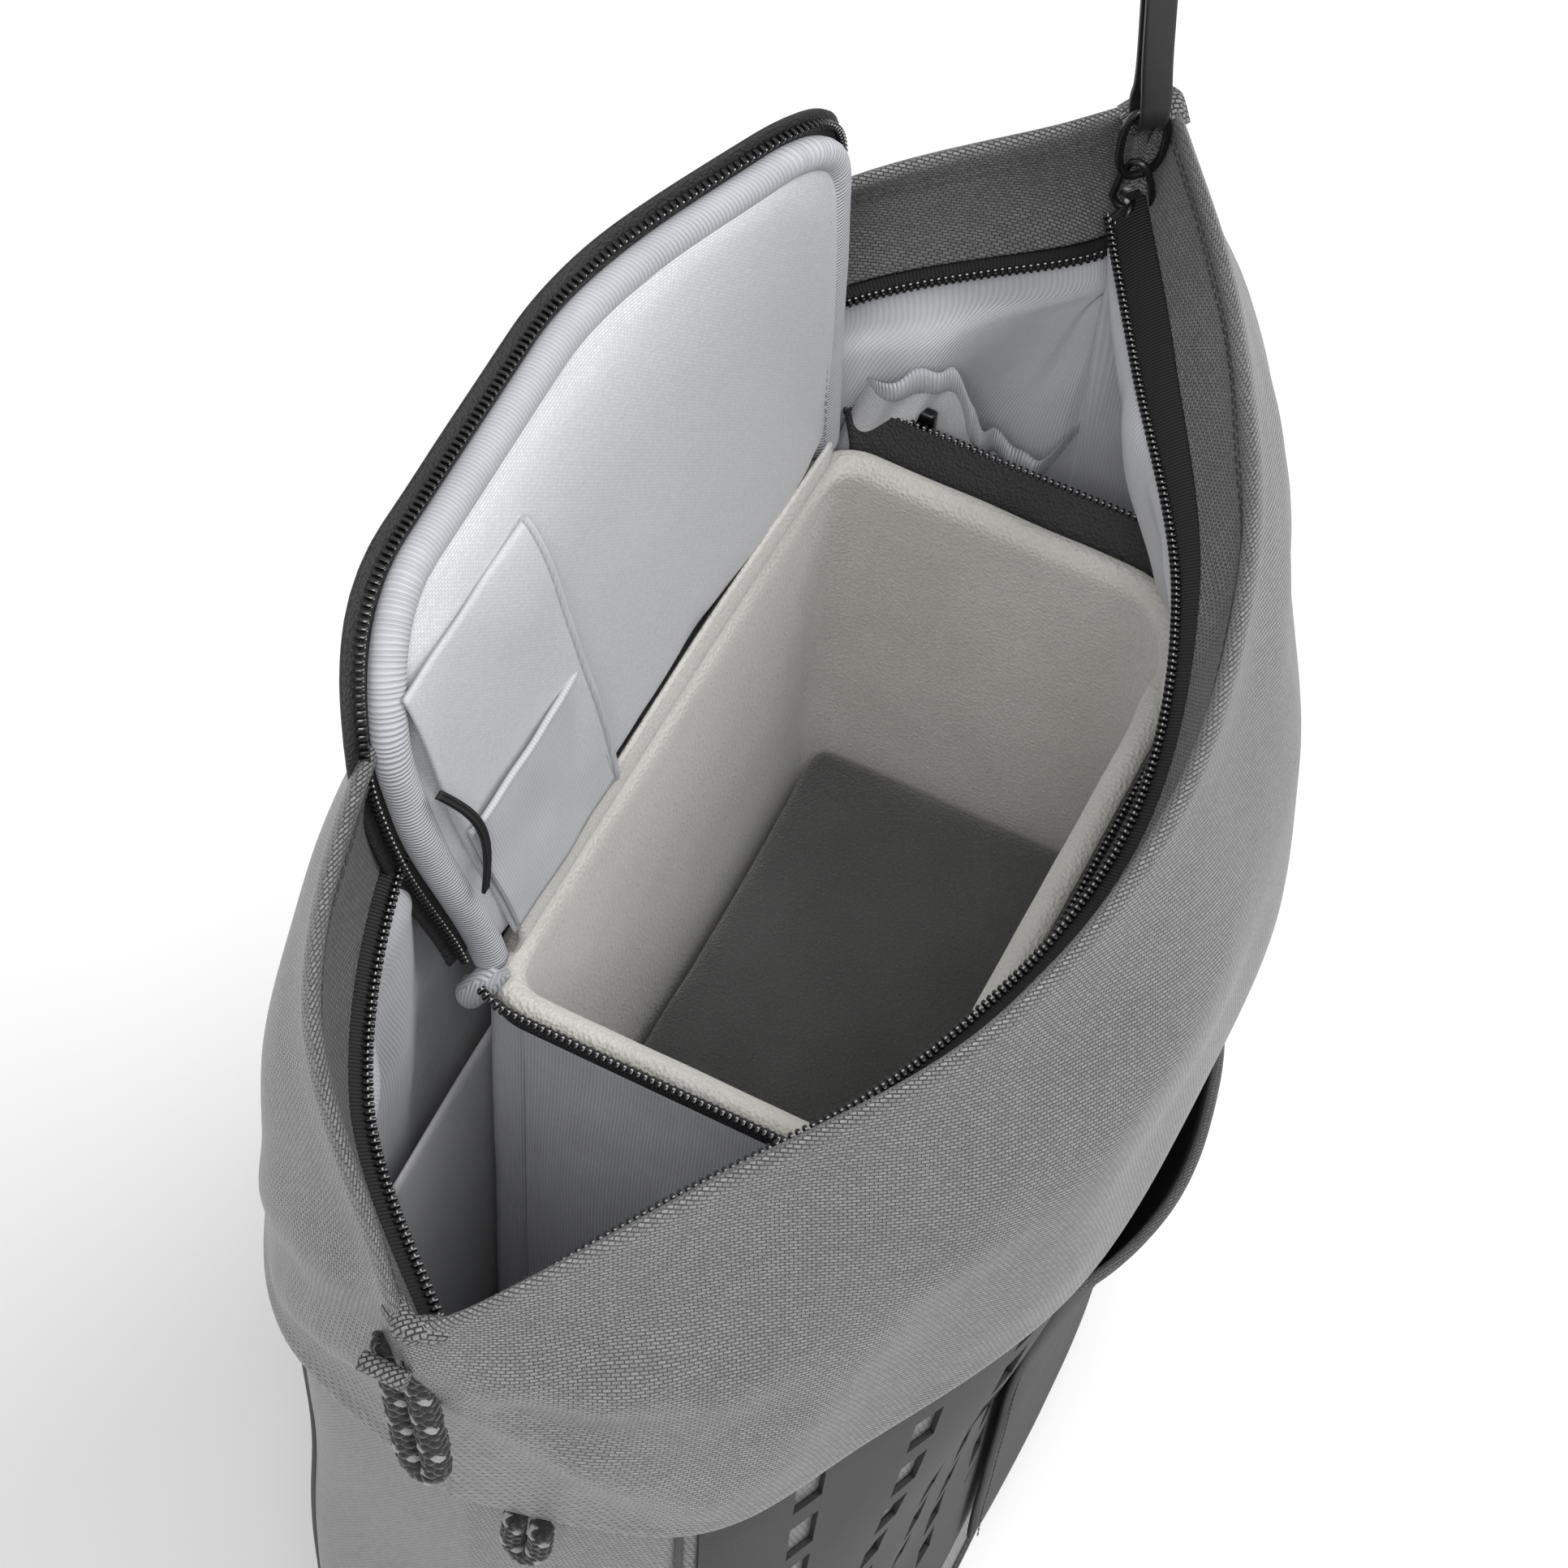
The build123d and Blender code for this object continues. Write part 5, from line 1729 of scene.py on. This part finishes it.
def loop_path(low, high, end):
    """A long narrow loop: its two strands hang side by side, and both ends go into the seam above."""
    top = Vector(((low.x + high.x) / 2, (low.y + high.y) / 2 + 3 * MM, high.z))
    half, drop = 2.7 * MM, 0.80 * (high.z - low.z)
    down = [(-half, 0), (-half, -8 * MM), (-half, -0.45 * drop), (-half * 1.05, -0.82 * drop),
            (-half * 0.75, -0.96 * drop)]
    up_again = [(-y, z) for y, z in reversed(down)]
    flat = [top + Vector((0, y + 0.22 * z, z - CORD_R)) for y, z in down + [(0, -drop)] + up_again]
    tilt = Matrix.Rotation(math.radians(LOOP_LEAN) * end, 4, "Y")
    pivot = (low + high) / 2
    return [pivot + tilt @ (p - pivot) for p in steps(lambda t: along(flat, t), 120)]


for end, word in ((-1, "near"), (1, "far")):
    low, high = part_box(f"cord_loop_{word}")
    braid(f"cord_{word}", loop_path(low, high, -end), CORD_R, 9, f"cord_loop_{word}", f"cord_loop_{word}")

low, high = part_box("cord_tail_near")
middle = (low + high) / 2
arc = [Vector((middle.x, middle.y + y * MM, middle.z + z * MM)) for y, z in (
    (2.0, 11), (2.4, 5), (2.6, -1), (0, -5), (-2.6, -1), (-3.4, 5), (-3.6, 11))]
braid("cord_tail", steps(lambda t: along(arc, t), 60), 2.2 * MM, 3.5, "bag", "cord_tail_near")

# %% [markdown]
# ## Cord anchors
# A short end of webbing is folded over each loop's top and sewn into the seam, so the loop swings in
# a sleeve of cloth.

# %% Loop sleeves
for end, word in ((-1, "near"), (1, "far")):
    low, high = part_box(f"cord_loop_{word}")
    x = (low.x if end < 0 else high.x) - end * 3.2 * MM
    sleeve = [Vector((x - end * 0.5 * MM, y * MM, high.z - 2.6 * MM)) for y in (-1.5, 1, 3, 5, 7.5)]
    roll = unwrapped(tube(f"cord_sleeve_{word}", steps(lambda t: along(sleeve, t), 12), 2.0 * MM, 12))
    dress(roll, TIP_CLOTH, "bag", "webbing")

# %% [markdown]
# ## The mouth's slider
# The slider is a cast body that holds both coils, with a bridge on top for the bail. It begins as a
# block, is narrowed to the rear in edit mode and has its edges bevelled.

# %% Slider
slider_low, slider_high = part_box("mouth_slider")
slider_middle = (slider_low + slider_high) / 2


def chiselled(name, x, y, z, taper=1.0, edge=0.5 * MM):
    """A block between bounds, narrowed across Y at its low-X end and bevelled."""
    bpy.ops.mesh.primitive_cube_add(size=1)
    made = named(name)
    middle_y = (y[0] + y[1]) / 2
    for vertex in made.data.vertices:
        wide = taper if vertex.co.x < 0 else 1.0
        px, py, pz = (ends[0] if c < 0 else ends[1] for ends, c in zip((x, y, z), vertex.co))
        vertex.co = Vector((px, middle_y + (py - middle_y) * wide, pz))
    modify(made, "BEVEL", width=edge, segments=3, limit_method="ANGLE")
    return smooth(made, 45)


x0, z0 = slider_low.x, slider_low.z
plates = [
    chiselled("plate", (x0, slider_high.x), (slider_low.y, slider_high.y), (z0 + z, z0 + z + 1.5 * MM), 0.72)
    for z in (0, 2.5 * MM)
]
post_y = (slider_middle.y - 0.9 * MM, slider_middle.y + 0.9 * MM)
plates.append(chiselled("post", (x0 + 0.4 * MM, x0 + 2.2 * MM), post_y, (z0 + 1 * MM, z0 + 3 * MM)))
bridge = [Vector((slider_middle.x + x * MM, slider_middle.y, z0 + z * MM)) for x, z in (
    (-2.5, 3.6), (-2.3, 6.2), (-1, 7.6), (1, 7.6), (2.3, 6.2), (2.5, 3.6))]
plates.append(tube("bridge", bridge, 0.8 * MM, 10))
slider = joined("mouth_slider_body", plates)
dress(slider, METAL, "mouth_slider", "dark_metal", "mouth_slider")

# %% [markdown]
# ## Bail and ring
# A bent wire bail hangs in the slider's bridge and holds an oval ring, which has turned part of the
# way round in it. Both are round wire, so each is a tube along its line.

# %% Bail and ring
bail_low, bail_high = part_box("pull_bail")
ring_low, ring_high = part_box("pull_ring")
bx, by = (bail_low.x + bail_high.x) / 2, (bail_low.y + bail_high.y) / 2
foot = (0, bail_low.z + 0.8 * MM)
half_bail = [(-3.4, bail_low.z + 1.1 * MM), (-4.8, bail_low.z + 3.4 * MM), (-3.4, bail_high.z - 6 * MM),
             (-1.7, bail_high.z - 1.6 * MM)]
head = (0, bail_high.z - 0.8 * MM)
other_half = [(-y, z) for y, z in reversed(half_bail)]
bail_line = [Vector((bx, by + y * MM, z)) for y, z in [foot, *half_bail, head, *other_half, foot]]
bail = tube("wire_bail", bail_line, 0.85 * MM, 10)
dress(bail, METAL, "mouth_pull", "dark_metal", "pull_bail")

rx, ry = (ring_low.x + ring_high.x) / 2, (ring_low.y + ring_high.y) / 2
RING_TURN = math.radians(-45)
ring_half = (ring_high.z - ring_low.z) / 2 - 0.9 * MM
ring_middle = (ring_low.z + ring_high.z) / 2
ACROSS = Vector((math.cos(RING_TURN), math.sin(RING_TURN), 0))
FACING_OUT = Vector((math.sin(RING_TURN), -math.cos(RING_TURN), 0))


def squared(value, power):
    """A cosine or sine drawn towards 1 or -1 by a power below 1, which makes a circle boxier."""
    return math.copysign(abs(value) ** power, value)


def oval_point(angle):
    """A place on the ring's wire."""
    level_part = ACROSS * (squared(math.cos(angle), 0.75) * 5.2 * MM)
    upright_part = Vector((0, 0, squared(math.sin(angle), 0.8) * ring_half))
    return Vector((rx, ry, ring_middle)) + level_part + upright_part


oval = tube("oval_ring", [oval_point(math.tau * i / 48) for i in range(48)], 0.95 * MM, 12, closed=True)
dress(oval, METAL, "mouth_pull", "dark_metal", "pull_ring")

# %% [markdown]
# ## The pull's strap
# A flat strap of rubber goes down through the ring and back up on itself. Its two ends are sewn
# together above the ring with two short bars of stitches.

# %% Pull strap
STRAP_HALF_WIDE, STRAP_PLY = 3.4 * MM, 1.25 * MM
ring_top = ring_high.z - 0.9 * MM
# Each place is how far the strap is off its own middle, and how far above the ring's top, in millimetres.
STRAP_LINE = [
    Vector(place) for place in (
        (0.66, 61.4), (0.66, 30), (0.75, 15), (1.5, 6), (2.2, 1.5), (1.7, -2.4), (0, -3.6), (-1.7, -2.4),
        (-2.2, 1.5), (-1.5, 6), (-0.75, 15), (-0.66, 35), (-0.66, 50), (-0.66, 61),
    )
]


def strap_middle(up):
    """The strap's own middle at a height above the ring's top in millimetres. It leans a little."""
    lean = Vector((-0.03, 0.07, 0)) * max(up - 6, 0) * MM
    return Vector((rx, ry, ring_top + up * MM)) + lean


def strap_place(u, v):
    """The strap: u goes across it, and v down one ply and up the other."""
    off, up = along(STRAP_LINE, v)
    narrow = 1 - 0.10 * bump(0.43, 0.12, v)
    return strap_middle(up) + FACING_OUT * (off * MM) + ACROSS * (STRAP_HALF_WIDE * (2 * u - 1) * narrow)


pull = cloth("pull_strap_folded", 8, 120, strap_place, STRAP_PLY)
round_edges(pull, 0.3 * MM, segments=2)
dress(pull, RUBBER, "mouth_pull", "pull_rubber", "pull_strap")
bars = []
for height in (11.0, 15.0):
    for face in (-1, 1):
        centre = strap_middle(height) + FACING_OUT * (face * 1.75 * MM)
        bar = [centre + ACROSS * (STRAP_HALF_WIDE * 0.8 * k) for k in (-1, -0.5, 0, 0.5, 1)]
        bars.append(stitch_row("bar", bar, 1.2, 0.9, 0.55))
bartack = joined("pull_bartack", bars)
dress(bartack, THREAD_DARK, "mouth_pull", "pull_rubber")

# %% [markdown]
# ## Shoulder straps
# The straps are foam in cloth, curved a little to the wearer. Each is made flat as a thin plate,
# blown up by the cloth simulation and then stood upright in its place.

# %% Shoulder straps
def strap_outline(angle, wide, tall, inset):
    """A place on the flat strap's outline: a rounded box that narrows towards its lower end."""
    x = squared(math.cos(angle), 0.35) * (wide / 2 - inset)
    z = squared(math.sin(angle), 0.35) * (tall / 2 - inset)
    return x * (1 - 0.14 * blend_in(-0.2, -1.0, z / (tall / 2))), z


for end, word in ((-1, "near"), (1, "far")):
    low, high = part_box(f"shoulder_strap_{word}")
    wide, tall, thick = high.x - low.x, high.z - low.z, high.y - low.y
    bpy.ops.mesh.primitive_cylinder_add(vertices=64, radius=1, depth=thick * 0.42)
    strap = named(f"padded_strap_{word}")
    for vertex in strap.data.vertices:
        x, z = strap_outline(math.atan2(vertex.co.y, vertex.co.x), wide, tall, 1.2 * MM)
        vertex.co = Vector((x, z, vertex.co.z))
    plump(strap, 1.5 * MM, voxel=4 * MM, pressure=4.0, frames=16)
    flat_uv(strap, 0, 1)
    middle = (low + high) / 2
    for vertex in strap.data.vertices:
        x, z, c = vertex.co
        channel = 0.8 * MM * math.exp(-((abs(x) - wide * 0.30) / (2.0 * MM)) ** 2) * (1 if c > 0 else 0)
        vertex.co = middle + Vector((x, c - channel + 0.3 * MM * noise.noise(Vector((x, z, end)) * 40), z))
    smooth(turned_out(strap), 60)
    dress(strap, STRAP_CLOTH, "bag", "strap_pad", f"shoulder_strap_{word}")
    flat_edge = [strap_outline(math.tau * i / 80, wide, tall, 1.0 * MM) for i in range(80)]
    edge = [middle + Vector((x, 0, z)) for x, z in flat_edge]
    piping = unwrapped(tube(f"strap_piping_{word}", edge, 1.0 * MM, 8, closed=True))
    dress(piping, WEBBING, "bag", "strap_pad")

# %% [markdown]
# ## Webbing and ladder locks
# A webbing runs up from its anchor at the base to the ladder lock, bowing out a little on its way.
# The lock itself is a moulded frame with two slots.

# %% Webbing, locks and anchors
def bar_frame(name, low, high, bars, bar_high):
    """A moulded frame: two side bars and cross bars, each a block with rounded edges."""
    side_wide, lap = 4 * MM, 3.2 * MM
    upright, across = (low.z, high.z), (low.x + lap, high.x - lap)
    spans = [((low.x, low.x + side_wide), upright), ((high.x - side_wide, high.x), upright)]
    spans += [(across, (z - bar_high / 2, z + bar_high / 2)) for z in bars]
    return joined(name, [chiselled("bar", x, (low.y, high.y), z, 1.0, 1.1 * MM) for x, z in spans])


def block_in(node, name, edge):
    """A rounded block that fills a CAD piece's box."""
    low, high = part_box(node)
    return chiselled(name, (low.x, high.x), (low.y, high.y), (low.z, high.z), 1.0, edge)


for end, word in ((-1, "near"), (1, "far")):
    low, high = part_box(f"ladder_lock_{word}")
    bar_heights = (low.z + 2 * MM, low.z + (high.z - low.z) * 0.5, high.z - 2 * MM)
    lock = bar_frame(f"ladder_lock_frame_{word}", low, high, bar_heights, 3.6 * MM)
    dress(lock, PLASTIC, "bag", "buckle_plastic", f"ladder_lock_{word}")

    low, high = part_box(f"strap_webbing_{word}")
    out_at = [(-0.6, 0), (0.2, 25), (0.4, 50), (0.9, 64), (1.9, 72), (0.8, 80)]
    spots = [Vector((0, (low.y + high.y) / 2 + out * MM, low.z + up * MM)) for out, up in out_at]
    spots.append(Vector((0, (low.y + high.y) / 2, high.z)))

    def ribbon_place(u, v, spots=spots, x0=low.x, x1=high.x):
        spot = along(spots, v)
        return Vector((x0 + (x1 - x0) * u, spot.y, spot.z))
    ribbon = cloth(f"webbing_ribbon_{word}", 6, 60, ribbon_place, 1.4 * MM)
    dress(ribbon, WEBBING, "bag", "webbing", f"strap_webbing_{word}")
    anchor = unwrapped(block_in(f"strap_anchor_{word}", f"anchor_block_{word}", 1.4 * MM))
    dress(anchor, STRAP_CLOTH, "bag", "webbing", f"strap_anchor_{word}")

# %% [markdown]
# ## Haul handle
# The handle is a loop of flat webbing, with both ends under a sewn patch.

# %% Haul handle
low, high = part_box("haul_handle")
hy = (low.y + high.y) / 2
foot_z, top_z = low.z / MM, high.z / MM
near_half = [(-40, foot_z + 1), (-41, foot_z + 14), (-38, top_z - 10), (-27, top_z - 5.5)]
far_half = [(-x, z) for x, z in reversed(near_half)]
grip = [Vector((x * MM, hy, z * MM)) for x, z in [*near_half, (0, top_z - 5.2), *far_half]]


def handle_place(u, v):
    """The handle's webbing: u goes from one end to the other, and v across it."""
    spot = along(grip, u)
    ahead = (along(grip, min(u + 0.01, 1)) - along(grip, max(u - 0.01, 0))).normalized()
    across = Vector((-ahead.z, 0, ahead.x))
    return spot + across * (5.0 * MM * (2 * v - 1))


handle = cloth("handle_webbing", 90, 8, handle_place, 1.6 * MM)
dress(handle, WEBBING, "bag", "webbing", "haul_handle")
low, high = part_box("handle_anchors")
for end, word in ((-1, "near"), (1, "far")):
    x0, x1 = (low.x, low.x + 15 * MM) if end < 0 else (high.x - 15 * MM, high.x)
    patch = chiselled(f"handle_patch_{word}", (x0, x1), (low.y, high.y), (low.z, high.z), 1.0, 1.4 * MM)
    both = ["handle_anchors"] if end < 0 else []     # the two patches share one CAD piece
    dress(unwrapped(patch), STRAP_CLOTH, "bag", "webbing", *both)

# %% [markdown]
# ## Small parts of the insert's zip
# The insert's slider waits at the far end of the back, with a cord pull hanging from it.

# %% Insert slider and pull
small = block_in("insert_slider", "insert_slider_body", 0.7 * MM)
dress(small, METAL, "insert_slider", "dark_metal", "insert_slider")
low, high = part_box("insert_pull")
px, py = (low.x + high.x) / 2, (low.y + high.y) / 2
head, foot = (0, high.z - 0.6 * MM), (0, low.z + 0.6 * MM)
one_side = [(-1.6, high.z - 5 * MM), (-2.4, (low.z + high.z) / 2), (-1.6, low.z + 4 * MM)]
other_side = [(-y, z) for y, z in reversed(one_side)]
tag_line = [Vector((px, py + y * MM, z)) for y, z in [head, *one_side, foot, *other_side, head]]
tag = tube("insert_pull_cord", tag_line, 0.6 * MM, 8)
dress(tag, RUBBER, "insert_slider", "dark_metal", "insert_pull")

# %% [markdown]
# ## Hidden stiffeners
# The frame sheet and the lining's floor are plain flat pieces that hardly show, so they stay as they
# are in the frame and get a finish only.

# %% Kept pieces
for name, finish in (("frame_sheet", STIFFENER), ("lining_floor", FELT)):
    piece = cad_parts[name]
    piece.data.materials.clear()
    piece.data.materials.append(finish)
    print(name, "keeps its packed solid")

# %% [markdown]
# ## The studio
# A pale floor and soft light from all round, with one large lamp to the right that gives the satin
# its soft highlights and lays a faint shadow to the left.

# %% Floor and world
bpy.ops.mesh.primitive_plane_add(size=12, location=(0, 0, -0.5 * MM))
floor = named("floor")
floor_paint, _, floor_shader = shaded("floor_paint", 0.9)
floor_shader.inputs["Base Color"].default_value = (0.96, 0.96, 0.96, 1)
floor.data.materials.append(floor_paint)

world = bpy.data.worlds.new("studio")
world.use_nodes = True
world.node_tree.nodes["Background"].inputs["Color"].default_value = (1, 1, 1, 1)
world.node_tree.nodes["Background"].inputs["Strength"].default_value = 0.62
bpy.context.scene.world = world
bpy.context.scene.view_settings.view_transform = "Standard"
print("world and floor set")

# %% [markdown]
# ## Two lamps
# A sun with a wide angle gives soft shadows that are the same everywhere. A small area lamp near the
# bag adds a highlight of its own, which fades over the bag's length.

# %% Lights
def lamp(name, kind, power, towards, place=(0, 0, 0)):
    """A lamp at a place, shining in a direction."""
    data = bpy.data.lights.new(name, kind)
    data.energy = power
    made = bpy.data.objects.new(name, data)
    made.location = place
    made.rotation_mode = "QUATERNION"
    made.rotation_quaternion = towards.to_track_quat("-Z", "Y")
    bpy.context.collection.objects.link(made)
    return data


BAG_MIDDLE, FILL_PLACE = Vector((0, 0, 0.35)), Vector((-0.80, -0.25, 1.6))
lamp("key", "SUN", 1.7, Vector((-0.45, 1.0, -1.55))).angle = math.radians(40)
lamp("fill", "AREA", 9, BAG_MIDDLE - FILL_PLACE, FILL_PLACE).size = 0.6
